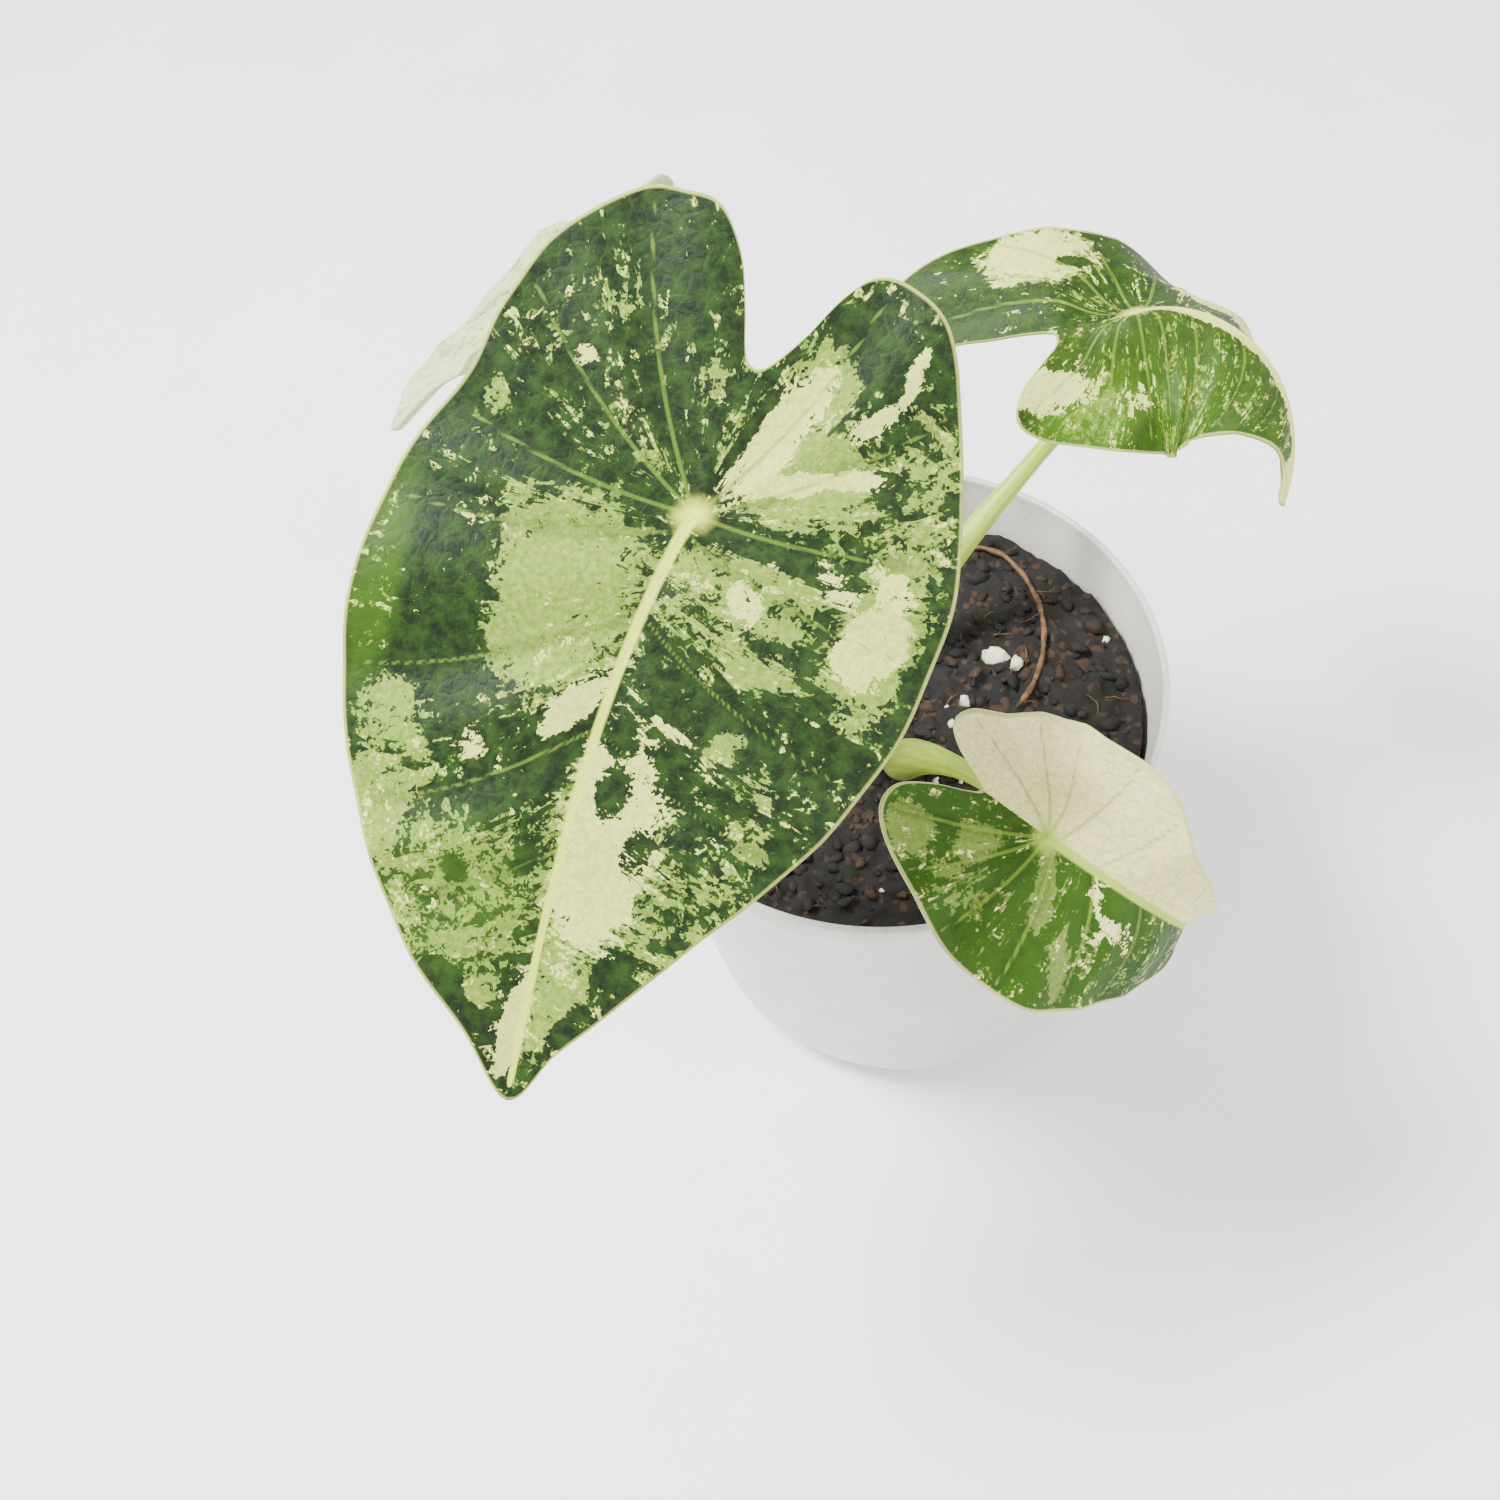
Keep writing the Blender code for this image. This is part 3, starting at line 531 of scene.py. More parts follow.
def petiole_material():
    """Yellow-green, paler at the sheathed foot, with fibres that run its length."""
    look = Shades("petiole", 0.4)
    low, high = shade(160, 178, 70), shade(160, 190, 34)
    sheath, light_fibre, dark_blotch = shade(205, 200, 150), shade(206, 216, 110), shade(132, 160, 56)
    share, around, _ = look.split(look.read("along"))
    strands = look.combine(look.times(around, 9), look.times(share, 7), 0)
    fibre = look.noise(strands, scale=1, detail=4)
    blotch = look.noise(look.place(), scale=160, detail=3)
    body = look.mix(look.rise(share, 0.12, 0.55), low, high)
    body = look.mix(look.rise(share, 0, 0.14, 0.75, 0), body, sheath)
    body = look.mix(look.rise(fibre, 0.4, 0.72, 0, 0.55), body, light_fibre)
    body = look.mix(look.rise(blotch, 0.5, 0.8, 0, 0.5), body, dark_blotch)
    return look.finish(body, (fibre, 0.32, 0.5), (fibre, 0.00015, 0.6))


def plastic_material():
    """Moulded white plastic greyed by painted shade and reflection, with a faint film and soil dust towards the
    rim.
    """
    look = Shades("white_plastic", 0.3)
    # Painted shade and reflection: both whites are darker and warmer than the white plastic itself.
    shaded_white, shaded_dull, dirt = shade(212, 209, 204), shade(203, 200, 195), shade(150, 138, 118)
    place = look.place()
    film = look.noise(place, scale=90, detail=5, rough=0.6)
    dust = look.noise(place, scale=900, detail=2)
    _, _, height = look.split(place)
    splash = look.rise(look.plus(look.times(height, 10), film), 1.5, 1.72, 0, 0.3)
    body = look.mix(look.rise(film, 0.35, 0.75), shaded_white, shaded_dull)
    body = look.mix(look.times(splash, look.rise(dust, 0.5, 0.62)), body, dirt)
    return look.finish(body, (film, 0.26, 0.44), (film, 0.00008, 0.5))


def soil_material():
    """Near-black mix with brown and lighter crumbs, and painted shade in the pits between them."""
    look = Shades("potting_soil", 0.92)
    dark, brown, crumb, hole = shade(4, 3, 3), shade(24, 17, 12), shade(62, 43, 28), shade(12, 10, 10)
    place = look.place()
    grit = look.noise(place, scale=420, detail=6, rough=0.7)
    crumbs = look.cells(place, scale=700)
    body = look.mix(look.rise(grit, 0.36, 0.7), dark, brown)
    body = look.mix(look.rise(crumbs, 0.84, 0.9, 0, 0.7), body, crumb)
    # Painted shade: the cells that the bump sinks into pits are darkened towards the hole colour.
    body = look.mix(look.rise(crumbs, 0.22, 0.12, 0, 0.8), body, hole)
    height = look.plus(grit, look.times(crumbs, 0.6))
    return look.finish(body, (grit, 0.7, 0.98), (height, 0.0005, 0.9))


def bark_material():
    """Bark from near-black to red-brown, chip by chip, with a grain."""
    look = Shades("bark_chips", 0.85)
    dark, brown, seam = shade(6, 5, 4), shade(66, 43, 25), shade(22, 15, 10)
    tone, _, _ = look.split(look.read("tone"))
    drawn_out = look.vector("MULTIPLY", look.place(), (1, 3, 3))
    grain = look.noise(drawn_out, scale=300, detail=5, rough=0.65)
    body = look.mix(look.rise(grain, 0.35, 0.75, 0, 0.6), look.mix(tone, dark, brown), seam)
    return look.finish(body, (grain, 0.7, 0.95), (grain, 0.0004, 0.8))


def perlite_material():
    """White, porous and a little stained."""
    look = Shades("perlite", 0.9)
    white, stained = shade(232, 224, 208), shade(168, 148, 122)
    place = look.place()
    pores = look.cells(place, scale=1500)
    stain = look.noise(place, scale=500, detail=4)
    body = look.mix(look.rise(stain, 0.45, 0.75, 0, 0.6), white, stained)
    return look.finish(body, (pores, 0.8, 0.98), (pores, 0.0003, 0.7))


def root_material():
    look = Shades("root", 0.6)
    dark, light = shade(66, 44, 22), shade(120, 86, 46)
    grain = look.noise(look.place(), scale=700, detail=4, rough=0.6)
    body = look.mix(look.rise(grain, 0.35, 0.7), dark, light)
    return look.finish(body, (grain, 0.5, 0.75), (grain, 0.0002, 0.6))


def corm_material():
    """Papery brown skin over a paler green-brown, fibrous and spotted."""
    look = Shades("corm_skin", 0.75)
    skin, pale, spot = shade(92, 66, 40), shade(168, 148, 92), shade(58, 40, 26)
    place = look.place()
    drawn_out = look.vector("MULTIPLY", place, (1, 1, 5))
    fibre = look.noise(drawn_out, scale=260, detail=5, rough=0.65)
    spots = look.cells(place, scale=520)
    body = look.mix(look.rise(fibre, 0.35, 0.7), skin, pale)
    body = look.mix(look.rise(spots, 0.8, 0.9, 0, 0.7), body, spot)
    return look.finish(body, (fibre, 0.6, 0.9), (fibre, 0.0004, 0.8))


def floor_material():
    look = Shades("pale_floor", 0.6)
    grain = look.noise(look.place(), scale=12, detail=4)
    body = look.mix(look.rise(grain, 0.3, 0.7), shade(246, 246, 246), shade(250, 250, 250))
    return look.finish(body, (grain, 0.55, 0.7))


def closed_curve(knots, count):
    """Points on a smooth closed curve through the knots, an equal number in each span."""
    knots = np.asarray(knots, float)
    t = np.linspace(0, 1, count, endpoint=False)[:, None]
    spans = []
    for i in range(len(knots)):
        a, b, c, d = (knots[(i + k) % len(knots)] for k in (-1, 0, 1, 2))
        spans.append(
            b + 0.5 * t * (c - a)
            + t**2 * (a - 2.5 * b + 2 * c - 0.5 * d)
            + t**3 * (1.5 * (b - c) + 0.5 * (d - a))
        )
    return np.concatenate(spans)


def outline_points(blade, count):
    """Margin points (across, along), evenly spaced from the tip round the right lobe and then the left."""
    angles = np.radians([a for a, _ in blade["outline"]])
    radii = blade["length"] * np.array([r for _, r in blade["outline"]])
    dense = closed_curve(np.column_stack([radii * np.sin(angles), radii * np.cos(angles)]), 24)
    dense = np.vstack([dense, dense[:1]])
    run = np.concatenate([[0], np.cumsum(np.hypot(*np.diff(dense, axis=0).T))])
    wanted = np.linspace(0, run[-1], count, endpoint=False)
    return np.column_stack([np.interp(wanted, run, dense[:, 0]), np.interp(wanted, run, dense[:, 1])])


def rib_lines(blade, margin):
    """The midrib, then the right half's ribs and the left's, each a row of flat points."""
    length = blade["length"]
    steps = np.linspace(0, 1, RIB_KNOTS)[:, None]
    lines = [np.array([[0, 0], [0, MIDRIB_SHARE * length]])]
    bearing = np.degrees(np.arctan2(margin[:, 0], margin[:, 1]))
    for side in (1, -1):
        for start_share, angle in RIBS:
            nearest = np.argmin(np.abs(bearing - side * angle))
            start = np.array([0, start_share * length])
            end = RIB_SHARE * margin[nearest]
            chord = end - start
            bow = RIB_BOW * np.array([chord[1], -chord[0]]) * side
            middle = 0.5 * (start + end) - bow * np.sign(chord[0] * side)
            lines.append((1 - steps) ** 2 * start + 2 * steps * (1 - steps) * middle + steps**2 * end)
    return lines


def distance_to(lines, flat):
    """How far each flat point is from the nearest of the lines."""
    best = np.full(len(flat), 1.0)
    for line in lines:
        for a, b in zip(line[:-1], line[1:]):
            ab = b - a
            share = np.clip(((flat - a) @ ab) / (ab @ ab), 0, 1)
            best = np.minimum(best, np.hypot(*(flat - a - share[:, None] * ab).T))
    return best


def turn(blade):
    """The rotation from the blade's own axes (x to the tip, y to its left, z up) to the part's."""
    return (
        Matrix.Rotation(math.radians(blade["heading"]), 3, "Z")
        @ Matrix.Rotation(math.radians(blade["dip"]), 3, "Y")
        @ Matrix.Rotation(math.radians(blade["bank"]), 3, "X")
    )


def curled(blade, flat, raised):
    """Flat points (across, along) folded, hooked, curled and raised, in the part's frame."""
    across, along = flat[:, 0], flat[:, 1]
    share = smooth_step(along / blade["length"] / 0.5 + 0.5)
    right = across >= 0
    folds = []
    for behind, before in zip(blade["fold_back"], blade["fold_front"]):
        folds.append(np.radians(behind + share * (before - behind)))
    fold = np.where(right, *folds)
    droop = np.where(right, *blade["droop"]) + TINY
    width = np.abs(across)
    slope = fold - droop * width
    settled = smooth_step((np.hypot(across, along) - LEVEL_RADIUS) / LEVEL_FADE)
    out = np.where(right, 1, -1) * ((np.sin(fold) - np.sin(slope)) / droop - np.sin(slope) * raised)
    lift = settled * (np.cos(slope) - np.cos(fold)) / droop + np.cos(slope) * raised
    swayed = blade["sway"] * np.sin(math.pi * (along / blade["length"]).clip(0, 1) ** 0.75)
    out = out + swayed * np.exp(-((width / SWAY_REACH) ** 2))
    hook = blade["hook"] + TINY
    turned_by = hook * along.clip(0)
    ahead = np.where(along > 0, (1 / hook - out) * np.sin(turned_by), along)
    aside = 1 / hook - (1 / hook - out) * np.cos(turned_by)
    bend = np.where(along >= 0, blade["curl"][0], -blade["curl"][1]) + TINY
    local = np.column_stack([
        np.sin(bend * ahead) / bend + np.sin(bend * ahead) * lift,
        -aside,
        -(1 - np.cos(bend * ahead)) / bend + np.cos(bend * ahead) * lift,
    ])
    return local @ np.array(turn(blade)).T + np.array(blade["joint"])


def relief(blade, flat, lines):
    """The blade's quilting: swollen between the ribs, level at them, with a slow wave at the margin."""
    away = distance_to(lines, flat)
    swollen = QUILT * (1 - np.exp(-((away / QUILT_REACH) ** 2)))
    bearing = np.arctan2(flat[:, 0], flat[:, 1])
    reach = np.hypot(*flat.T) / blade["length"]
    return swollen + blade["wave"] * np.sin(WAVES * bearing) * smooth_step((reach - 0.2) / 0.3)


def zones(name, flat):
    """How strongly pale, cream and lively green show at each flat point."""
    ground = np.array(GROUND[name])
    side = smooth_step(flat[:, 0] / (HALVES_BLEND * MM) + 0.5)[:, None]
    fields = side * ground[0] + (1 - side) * ground[1]
    for field, kind in zip(fields.T, KINDS):
        for across, along, wide, tall, turned_to, strength in PATCHES[name].get(kind, ()):
            angle = math.radians(turned_to)
            dx = flat[:, 0] - across * MM
            dy = flat[:, 1] - along * MM
            u = (dx * math.cos(angle) - dy * math.sin(angle)) / (wide * MM)
            v = (dx * math.sin(angle) + dy * math.cos(angle)) / (tall * MM)
            here = smooth_step((PATCH_REACH - np.hypot(u, v)) / PATCH_FADE)
            field[:] = field * (1 - here) + strength * here
    return fields


def vein_run(flat, lines):
    """How far each flat point lies across the ribs and out along them, in millimetres."""
    run = np.zeros(len(flat))
    out = np.zeros(len(flat))
    left = flat[:, 0] < 0
    for half, lines_here in ((~left, lines[1 : 1 + len(RIBS)]), (left, lines[1 + len(RIBS) :])):
        points = flat[half]
        near = np.array([distance_to([line], points) for line in lines_here]) + 0.4 * MM
        weight = 1 / near**2
        weight /= weight.sum(axis=0)
        index = (weight * np.arange(len(lines_here))[:, None]).sum(axis=0)
        starts = np.array([line[0, 1] for line in lines_here])
        start = (weight * starts[:, None]).sum(axis=0)
        run[half] = index * RIB_SPACING
        out[half] = np.hypot(points[:, 0], points[:, 1] - start) / MM
    run[left] += HALVES_APART
    return run, out


def put(mesh, name, values):
    """Stores three numbers a vertex on the mesh, for its material."""
    layer = mesh.attributes.new(name, "FLOAT_VECTOR", "POINT")
    layer.data.foreach_set("vector", np.ascontiguousarray(values, dtype=np.float32).ravel())


def stand(name, data):
    """A new object with the data, in the scene."""
    obj = bpy.data.objects.new(name, data)
    bpy.context.scene.collection.objects.link(obj)
    return obj


def new_piece(name, points, faces, *materials):
    mesh = bpy.data.meshes.new(name)
    mesh.from_pydata([tuple(p) for p in points], [], faces)
    for look in materials:
        mesh.materials.append(look)
    mesh.shade_smooth()
    return stand(name, mesh)


def angles(count, offset=0):
    """Angles evenly spaced once round."""
    return [2 * math.pi * (k + offset) / count for k in range(count)]


def ring_faces(rings, sides, first=0, flip=False):
    """Quads between rows of points that each go once round."""
    faces = []
    for ring in range(rings - 1):
        for k in range(sides):
            a = first + ring * sides + k
            b = first + ring * sides + (k + 1) % sides
            quad = (a, b, b + sides, a + sides)
            faces.append(quad[::-1] if flip else quad)
    return faces


def flat_blade(blade):
    """The blade's flat points in rings round the joint, how far each is from the margin, and the faces."""
    spokes, rings = blade["spokes"], blade["rings"]
    margin = outline_points(blade, spokes) * MARGIN_SHARE
    reach = np.hypot(*margin.T)
    outward = margin / reach[:, None]
    first = LEVEL_RADIUS / 2
    rows = [np.zeros((1, 2))]
    gaps = [reach[:1]]
    for share in np.linspace(0, 1, rings) ** RING_POWER:
        radius = first + (reach - first) * share
        rows.append(outward * radius[:, None])
        gaps.append(reach - radius)
    faces = [(0, 1 + (k + 1) % spokes, 1 + k) for k in range(spokes)]
    faces += ring_faces(rings, spokes, 1)
    return np.concatenate(rows), np.concatenate(gaps), faces


def thicken(obj, flat, lines):
    """Thickens the blade below, more along the ribs. Its underside has the second material."""
    group = obj.vertex_groups.new(name="ribs")
    weights = np.exp(-((distance_to(lines, flat) / RIB_REACH) ** 2))
    weights *= smooth_step((np.hypot(*flat.T) - RIBS_START) / RIBS_FADE)
    for index in np.flatnonzero(weights > 0.01):
        group.add([int(index)], float(weights[index]), "REPLACE")
    shell = obj.modifiers.new("shell", "SOLIDIFY")
    shell.thickness = BLADE_THICK + RIB_EXTRA
    shell.offset = -1
    shell.vertex_group = group.name
    shell.thickness_vertex_group = BLADE_THICK / (BLADE_THICK + RIB_EXTRA)
    shell.material_offset = 1
    shell.material_offset_rim = 0


def add_blade(name, blade):
    lines = rib_lines(blade, outline_points(blade, RIB_MARGIN))
    flat, to_margin, faces = flat_blade(blade)
    placed = curled(blade, flat, relief(blade, flat, lines))
    top = leaf_material(name)
    below = leaf_material(name, under=True)
    obj = new_piece(name + "_detail", placed, faces, top, below)
    run, out = vein_run(flat, lines)
    side_gap = distance_to(lines[1:], flat) / MM
    taper = 1 + MIDRIB_TAPER * (flat[:, 1] / blade["length"]).clip(0, 1)
    mid_gap = distance_to(lines[:1], flat) / MM * taper
    nought = np.zeros(len(flat))
    put(obj.data, "flat", np.column_stack([flat / MM, nought]))
    put(obj.data, "veins", np.column_stack([run, out, nought]))
    put(obj.data, "zones", zones(name, flat))
    put(obj.data, "gaps", np.column_stack([side_gap, to_margin / MM, mid_gap]))
    thicken(obj, flat, lines)
    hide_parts(name)
    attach(obj, "root")


def bezier(knots, t):
    a, b, c, d = knots
    return (1 - t) ** 3 * a + 3 * t * (1 - t) ** 2 * b + 3 * t**2 * (1 - t) * c + t**3 * d


def petiole_path(name):
    """From the corm's side, up and over to a point just under the blade's joint."""
    blade, petiole = BLADES[name], PETIOLES[name]
    bearing = math.radians(petiole["foot"])
    out = Vector((math.cos(bearing), math.sin(bearing), 0))
    foot = out * PETIOLE_CIRCLE + Vector((0, 0, SOIL_TOP))
    tip_way, left_way, normal = turn(blade).col
    back, left = petiole["slant"]
    arrival = (normal + back * tip_way - left * left_way).normalized()
    top = Vector(blade["joint"]) - normal * (BLADE_THICK + SEAT_CLEAR)
    reach = (top - foot).length
    lean = (top - foot).normalized()
    knots = [
        foot,
        foot + (Vector((0, 0, 1)) + lean).normalized() * reach * petiole["rise"],
        top - arrival * reach * PETIOLE_NECK,
        top,
    ]
    points = [foot - Vector((0, 0, PETIOLE_DEPTH))]
    points += [bezier(knots, k / PETIOLE_RINGS) for k in range(PETIOLE_RINGS)]
    points += [top - normal * PETIOLE_STUB, top]
    return points


def sweep(points, radii, sides, first=0):
    """A tube round a path, its ends closed: its points, and its faces, numbered from first."""
    points = [Vector(p) for p in points]
    rows = []
    side_way = None
    for k, point in enumerate(points):
        ahead = (points[min(k + 1, len(points) - 1)] - points[max(k - 1, 0)]).normalized()
        if side_way is None:
            side_way = ahead.orthogonal()
        side_way = (side_way - ahead * side_way.dot(ahead)).normalized()
        up_way = ahead.cross(side_way)
        for a in angles(sides):
            rows.append(point + (side_way * math.cos(a) + up_way * math.sin(a)) * radii[k])
    faces = ring_faces(len(points), sides, first)
    last = first + (len(points) - 1) * sides
    faces.append(tuple(range(first + sides - 1, first - 1, -1)))
    faces.append(tuple(range(last, last + sides)))
    return rows, faces


def add_petiole(name, look):
    points = petiole_path(name)
    shares = np.linspace(0, 1, len(points))
    slim = PETIOLE_TOP + (PETIOLE_FOOT - PETIOLE_TOP) * (1 - smooth_step(shares / 0.6))
    radii = slim + PETIOLE_FLARE * smooth_step((shares - 0.9) / 0.1)
    rows, faces = sweep(points, radii, PETIOLE_SIDES)
    stem = name.replace("blade", "petiole")
    obj = new_piece(stem + "_detail", rows, faces, look)
    around = np.tile(np.arange(PETIOLE_SIDES) / PETIOLE_SIDES, len(points))
    around = np.abs(around - 0.5) * 2
    along = np.repeat(shares, PETIOLE_SIDES)
    put(obj.data, "along", np.column_stack([along, around, np.zeros(len(along))]))
    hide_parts(stem)
    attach(obj, "root")


def heel(radius):
    """The rounding between the pot's side and its foot, from the foot out and up."""
    middle = HEEL_SIDE - HEEL_RADIUS
    points = []
    for degrees in range(0, 91, 10):
        a = math.radians(degrees)
        points.append((middle + radius * math.sin(a), FOOT_HEIGHT + HEEL_RADIUS - radius * math.cos(a)))
    return points


def arc(radius, height, size, start, end):
    """A small rounding of the section, from one angle to another in degrees."""
    steps = [math.radians(start + (end - start) * k / 5) for k in range(6)]
    return [(radius + size * math.cos(a), height + size * math.sin(a)) for a in steps]


def pot_profile():
    """The wall's section as (radius, height), from the inner floor over the rim to the foot."""
    body_top = RIM_RADIUS - RIM_PROUD
    low = POT_HEIGHT - RIM_BAND
    lip = WALL / 2
    inner = [(0, FOOT_HEIGHT + WALL)] + heel(HEEL_RADIUS - WALL)
    inner += [(body_top - WALL, low), (RIM_RADIUS - WALL, POT_HEIGHT - RIM_BAND * STRAIGHT_LIP)]
    top = arc(RIM_RADIUS - lip, POT_HEIGHT - lip, lip, 180, 0)
    outer = arc(RIM_RADIUS - BAND_ROUND, low + BAND_ROUND, BAND_ROUND, 0, -90)
    outer += [(body_top + BAND_UNDERCUT, low), (body_top, low - BAND_LEAD)]
    outer += list(reversed(heel(HEEL_RADIUS)))
    return inner + top + outer + [(FOOT_RADIUS, FOOT_HEIGHT), (FOOT_RADIUS, 0), (0, 0)]


def add_pot():
    """The pot's section turned round the part's axis, with the drain holes cut through."""
    profile = pot_profile()
    mesh = bpy.data.meshes.new("pot_detail")
    mesh.from_pydata([(r, 0, z) for r, z in profile], [(k, k + 1) for k in range(len(profile) - 1)], [])
    mesh.materials.append(plastic_material())
    pot = stand("pot_detail", mesh)
    screw = pot.modifiers.new("turn", "SCREW")
    screw.steps = screw.render_steps = POT_STEPS
    screw.use_merge_vertices = True
    screw.merge_threshold = MERGE
    drains = []
    for k, angle in enumerate(angles(DRAIN_HOLES)):
        x, y = DRAIN_CIRCLE * math.cos(angle), DRAIN_CIRCLE * math.sin(angle)
        rows, faces = sweep([(x, y, -DRAIN_CUT), (x, y, DRAIN_CUT)], [DRAIN_RADIUS] * 2, DRAIN_SIDES)
        cutter = new_piece(f"drain_{k}", rows, faces)
        hole = pot.modifiers.new(f"drain_{k}", "BOOLEAN")
        hole.operation = "DIFFERENCE"
        hole.solver = "EXACT"
        hole.object = cutter
        drains.append(cutter)
    bpy.context.view_layer.update()
    cut = bpy.data.meshes.new_from_object(pot.evaluated_get(bpy.context.evaluated_depsgraph_get()))
    pot.modifiers.clear()
    pot.data = cut
    for cutter in drains:
        bpy.data.objects.remove(cutter)
    cut.shade_smooth()
    cut.set_sharp_from_angle(angle=math.radians(SHARP_FROM))
    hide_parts("pot")
    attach(pot, "root")


def soil_edge():
    """The soil's radius at its surface, just inside the pot's wall."""
    heel_r = HEEL_SIDE - WALL - SOIL_GAP
    top_r = RIM_RADIUS - RIM_PROUD - WALL - SOIL_GAP
    body_z = POT_HEIGHT - RIM_BAND
    heel_z = FOOT_HEIGHT + HEEL_RADIUS
    return heel_r + (top_r - heel_r) * (SOIL_TOP - heel_z) / (body_z - heel_z) - EDGE_INSET


def soil_height(x, y):
    """Lumps of bark and grit on the soil's top, with fine crumbs between."""
    hill = 1 - noise.voronoi(Vector((x / LUMP_SIZE, y / LUMP_SIZE, 0.4)))[0][0]
    grain = noise.noise(Vector((x / GRAIN_SIZE, y / GRAIN_SIZE, 2)))
    crumb = 1 - noise.voronoi(Vector((x / CRUMB_SIZE, y / CRUMB_SIZE, 7)))[0][0]
    level = LUMP_HEIGHT * max(hill, 0) + GRAIN_HEIGHT * grain + CRUMB_HEIGHT * max(crumb, 0)
    return SOIL_TOP + level - SURFACE_DROP - EDGE_FALL * (math.hypot(x, y) / soil_edge()) ** EDGE_POWER


def add_soil():
    floor = FOOT_HEIGHT + WALL + SOIL_GAP
    heel_r = HEEL_SIDE - WALL - SOIL_GAP
    side = [(heel_r - inward, floor + up) for inward, up in SOIL_FOOT]
    side.append((heel_r, FOOT_HEIGHT + HEEL_RADIUS + HEEL_CLEAR))
    points = [(0, 0, floor)]
    for radius, height in side:
        points += [(radius * math.cos(a), radius * math.sin(a), height) for a in angles(SOIL_STEPS)]
    for ring in range(SOIL_RINGS):
        radius = soil_edge() * (1 - ring / SOIL_RINGS)
        for a in angles(SOIL_STEPS):
            x, y = radius * math.cos(a), radius * math.sin(a)
            points.append((x, y, soil_height(x, y)))
    points.append((0, 0, soil_height(0, 0)))
    rows = len(side) + SOIL_RINGS
    faces = [(0, 1 + (k + 1) % SOIL_STEPS, 1 + k) for k in range(SOIL_STEPS)]
    faces += ring_faces(rows, SOIL_STEPS, 1)
    last = 1 + (rows - 1) * SOIL_STEPS
    faces += [(last + k, last + (k + 1) % SOIL_STEPS, len(points) - 1) for k in range(SOIL_STEPS)]
    obj = new_piece("soil_detail", points, faces, soil_material())
    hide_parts("soil")
    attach(obj, "root")


def pebble(rng, size, form):
    """A crumpled pebble round the origin: its points and faces."""
    rows, sides = form["grid"]
    stretch = Vector((size, size * NARROWNESS, size * form["flatness"]))
    seed = Vector(rng.uniform(-50, 50, 3))
    points = [Vector((0, 0, 1))]
    for r in range(1, rows):
        polar = math.pi * r / rows
        wide = math.sin(polar)
        for a in angles(sides, 0.5 * (r % 2)):
            points.append(Vector((wide * math.cos(a), wide * math.sin(a), math.cos(polar))))
    points.append(Vector((0, 0, -1)))
    heading = Matrix.Rotation(rng.uniform(0, ANY_HEADING), 3, "Z")
    turned_to = heading @ Matrix.Rotation(rng.uniform(-MOST_TILT, MOST_TILT), 3, "X")
    shaped = []
    for p in points:
        q = p * (1 + CRUMPLE * noise.noise(p * CRUMPLE_SCALE + seed))
        shaped.append(turned_to @ (q * stretch))
    faces = [(0, 1 + k, 1 + (k + 1) % sides) for k in range(sides)]
    faces += ring_faces(rows - 1, sides, 1, flip=True)
    last = 1 + (rows - 2) * sides
    faces += [(last + (k + 1) % sides, last + k, len(points) - 1) for k in range(sides)]
    return shaped, faces


def spots(rng, count, sizes):
    """Places all over the soil, each with a size."""
    made = []
    for _ in range(count):
        radius = (soil_edge() - LITTER_INSET) * math.sqrt(rng.uniform(0, 1))
        angle = rng.uniform(0, 2 * math.pi)
        made.append((radius * math.cos(angle), radius * math.sin(angle), rng.uniform(*sizes)))
    return made


def scatter(name, look, rng, chosen=()):
    """One piece of many pebbles half sunk in the soil, at the chosen places and at random."""
    form = LITTER[name]
    points, faces, tones = [], [], []
    for x, y, size in (*chosen, *spots(rng, form["count"], form["sizes"])):
        shaped, own = pebble(rng, size, form)
        start = len(points)
        base = Vector((x, y, soil_height(x, y) + size * form["flatness"] * LITTER_LIFT))
        points += [base + p for p in shaped]
        faces += [tuple(start + i for i in face) for face in own]
        tones += [rng.uniform(0, 1) ** TONE_POWER] * len(shaped)
    obj = new_piece(name, points, faces, look)
    put(obj.data, "tone", np.column_stack([tones, tones, tones]))
    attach(obj, "root")


def add_surface_root(look):
    """The root that arches over the soil, its path smoothed between the knots."""
    knots = [Vector((x, y, soil_height(x, y) + ROOT_RISE)) for x, y in ROOT]
    path = [a.lerp(b, step / ROOT_STEPS) for a, b in zip(knots, knots[1:]) for step in range(ROOT_STEPS)]
    path.append(knots[-1])
    for _ in range(ROOT_SMOOTHINGS):
        inner = [(a + b * 2 + c) / 4 for a, b, c in zip(path, path[1:], path[2:])]
        path = [path[0], *inner, path[-1]]
    radii = [ROOT_RADIUS * (1 + ROOT_SWELL * math.sin(k * ROOT_PACE)) for k in range(len(path))]
    radii[0] = radii[-1] = ROOT_RADIUS * ROOT_ENDS
    rows, faces = sweep(path, radii, ROOT_SIDES)
    root = new_piece("surface_root", rows, faces, look)
    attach(root, "root")


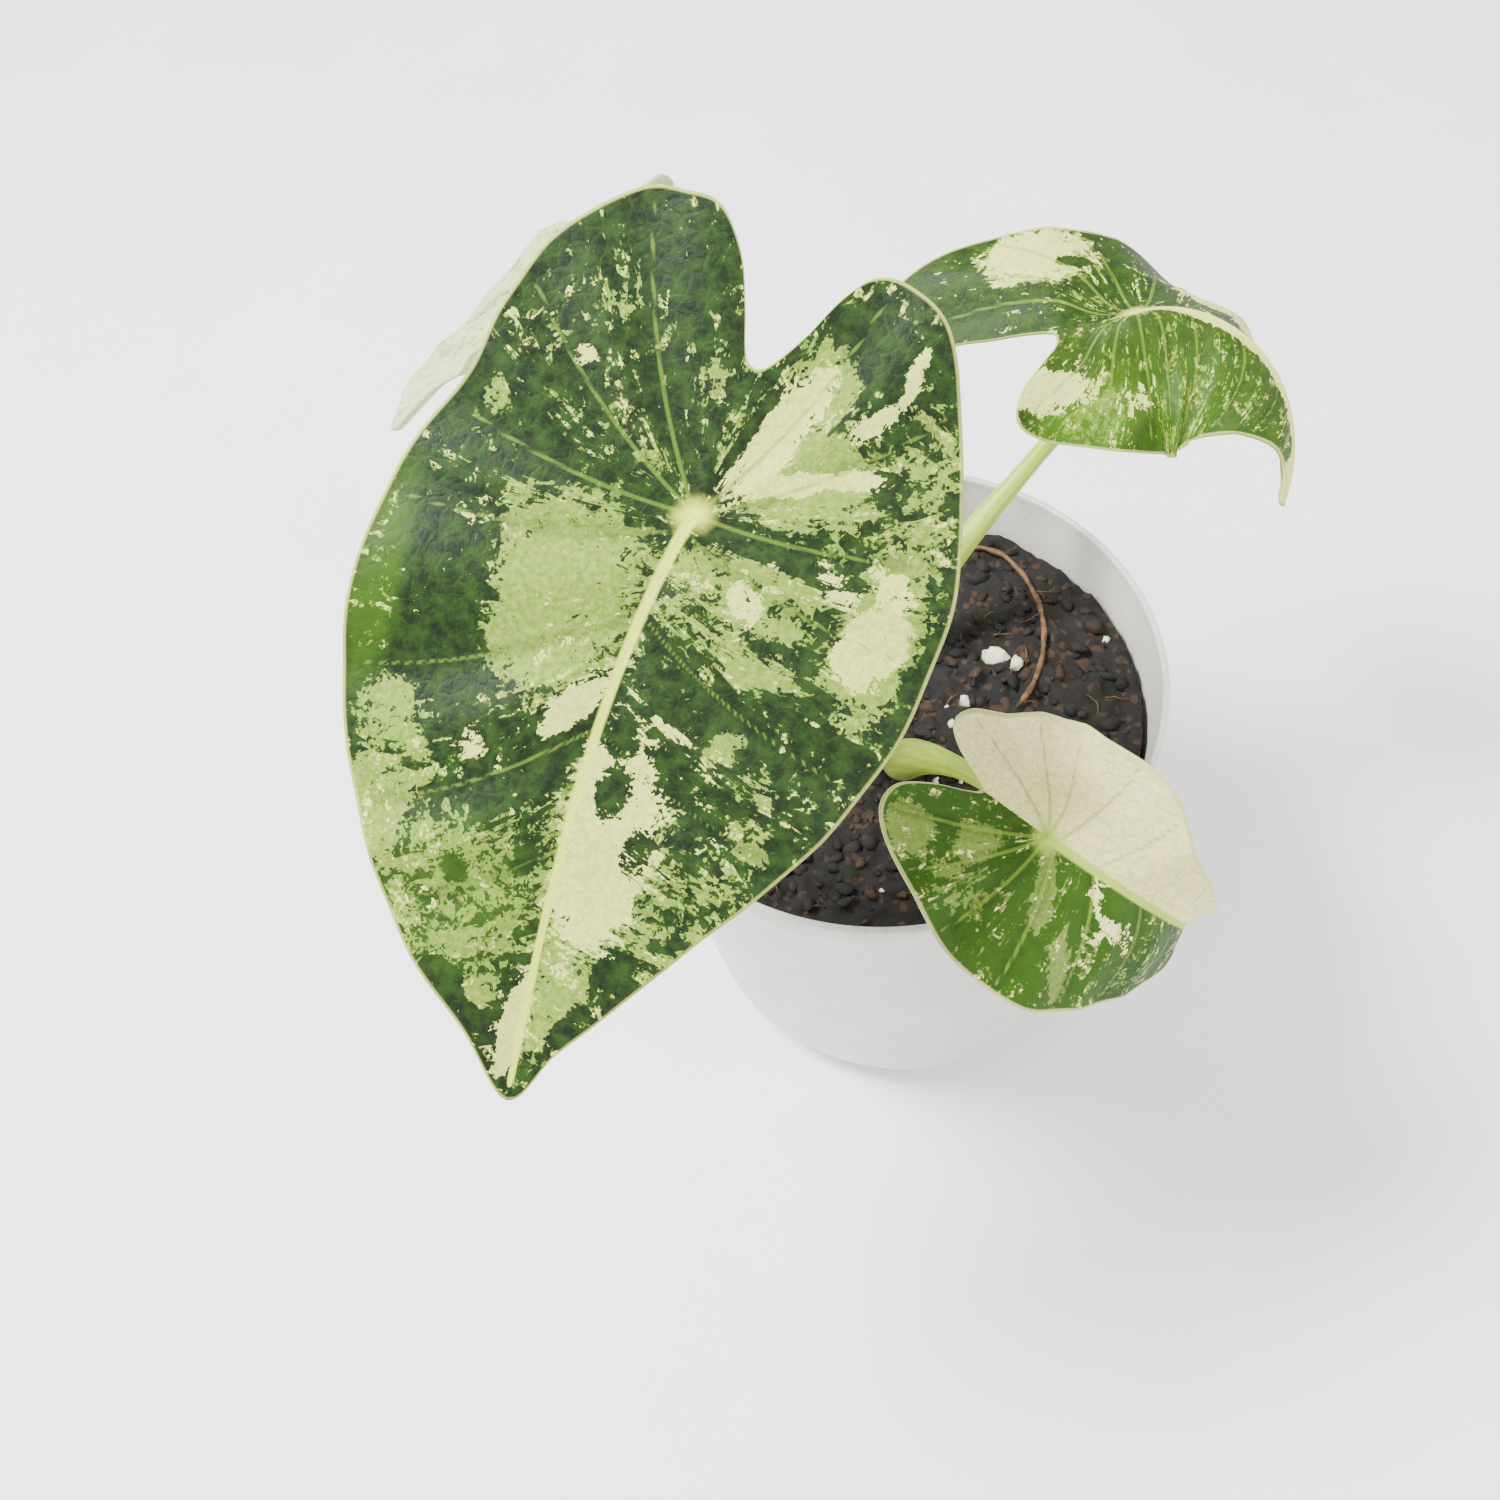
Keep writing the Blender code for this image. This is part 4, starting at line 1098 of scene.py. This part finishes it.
def add_fibres(rng, look):
    """Loose, bowed fibres that lie on the soil and keep clear of the pot's wall."""
    edge = soil_edge() - LITTER_INSET
    thin, thicker = FIBRE_RADII
    low, higher = FIBRE_RISE
    points, faces = [], []
    for x, y, size in spots(rng, FIBRE_COUNT, FIBRE_SIZES):
        heading = rng.uniform(0, 2 * math.pi)
        bow = rng.uniform(-FIBRE_BOW, FIBRE_BOW)
        path, radii = [], []
        for k in range(FIBRE_KNOTS):
            t = k / (FIBRE_KNOTS - 1) - 0.5
            a = heading + bow * t
            px, py = x + size * t * math.cos(a), y + size * t * math.sin(a)
            shrink = min(1, edge / max(math.hypot(px, py), TINY))
            px, py = px * shrink, py * shrink
            path.append((px, py, soil_height(px, py) + low + higher * (1 - (2 * t) ** 2)))
            radii.append(thin + thicker * (1 - abs(2 * t)))
        own_points, own_faces = sweep(path, radii, FIBRE_SIDES, len(points))
        points += own_points
        faces += own_faces
    fibres = new_piece("loose_fibres", points, faces, look)
    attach(fibres, "root")


def add_litter():
    """Bark chips, perlite, the root that arches over the soil, and loose fibres."""
    rng = np.random.default_rng(LITTER_SEED)
    scatter("bark_chips", bark_material(), rng)
    scatter("perlite", perlite_material(), rng, BIG_PERLITE)
    look = root_material()
    add_surface_root(look)
    add_fibres(rng, look)


def add_corm():
    top, low = SOIL_TOP + CORM_ABOVE, SOIL_TOP - CORM_DEPTH
    scar_depth, scar_pace = CORM_SCARS
    round_scale, up_scale = CORM_ROUGH_SCALES
    points = []
    for r in range(CORM_ROWS):
        share = 1 - CORM_ENDS - (1 - 2 * CORM_ENDS) * r / (CORM_ROWS - 1)
        width = np.interp(share, CORM_SHARES, CORM_WIDTHS)
        scar = scar_depth * math.sin(share * scar_pace)
        for a in angles(CORM_SIDES):
            x, y = math.cos(a), math.sin(a)
            rough = CORM_ROUGH * noise.noise(Vector((round_scale * x, round_scale * y, share * up_scale)))
            radius = CORM_RADIUS * max(width * (CORM_BODY + scar + rough), CORM_LEAST)
            points.append((radius * x, radius * y, low + (top - low) * share))
    faces = ring_faces(CORM_ROWS, CORM_SIDES, 0, flip=True)
    faces.append(tuple(range(CORM_SIDES)))
    faces.append(tuple(range(len(points) - 1, len(points) - CORM_SIDES - 1, -1)))
    obj = new_piece("corm_detail", points, faces, corm_material())
    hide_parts("corm")
    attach(obj, "root")


def add_light(name, place, size, power):
    lamp = bpy.data.lights.new(name, "AREA")
    lamp.shape = "DISK"
    lamp.size = size
    lamp.energy = power
    obj = stand(name, lamp)
    obj.location = place
    obj.rotation_euler = (Vector(AIM) - Vector(place)).to_track_quat("-Z", "Y").to_euler()


def add_stage():
    """The floor, the white surroundings and the lamps."""
    reach = FLOOR_REACH
    corners = [(-reach, -reach, 0), (reach, -reach, 0), (reach, reach, 0), (-reach, reach, 0)]
    floor = new_piece("floor", corners, [(0, 1, 2, 3)], floor_material())
    world = bpy.data.worlds.new("studio")
    bpy.context.scene.world = world
    world.use_nodes = True
    sky = world.node_tree.nodes["Background"]
    sky.inputs["Color"].default_value = (1, 1, 1, 1)
    sky.inputs["Strength"].default_value = SURROUNDINGS
    for name, (place, size, power) in LAMPS.items():
        add_light(name, place, size, power)


def add_camera():
    down = math.radians(CAMERA_DOWN)
    roll = math.radians(CAMERA_ROLL)
    ahead = Vector((0, math.cos(down), -math.sin(down)))
    level = Vector((1, 0, 0))
    up = level.cross(ahead)
    right = math.cos(roll) * level + math.sin(roll) * up
    above = -math.sin(roll) * level + math.cos(roll) * up
    lens = bpy.data.cameras.new("photograph")
    lens.sensor_width = SENSOR
    lens.sensor_fit = "HORIZONTAL"
    lens.lens = SENSOR * FOCAL_SHARE
    lens.clip_start, lens.clip_end = CLIP
    obj = stand("photograph", lens)
    place = Matrix((right, above, -ahead)).transposed().to_4x4()
    place.translation = Vector(CAMERA_PLACE)
    obj.matrix_world = place
    bpy.context.scene.camera = obj


add_camera()
add_stage()
add_pot()
add_soil()
add_litter()
add_corm()
PETIOLE_LOOK = petiole_material()
for blade_name, blade_form in BLADES.items():
    add_blade(blade_name, blade_form)
    add_petiole(blade_name, PETIOLE_LOOK)
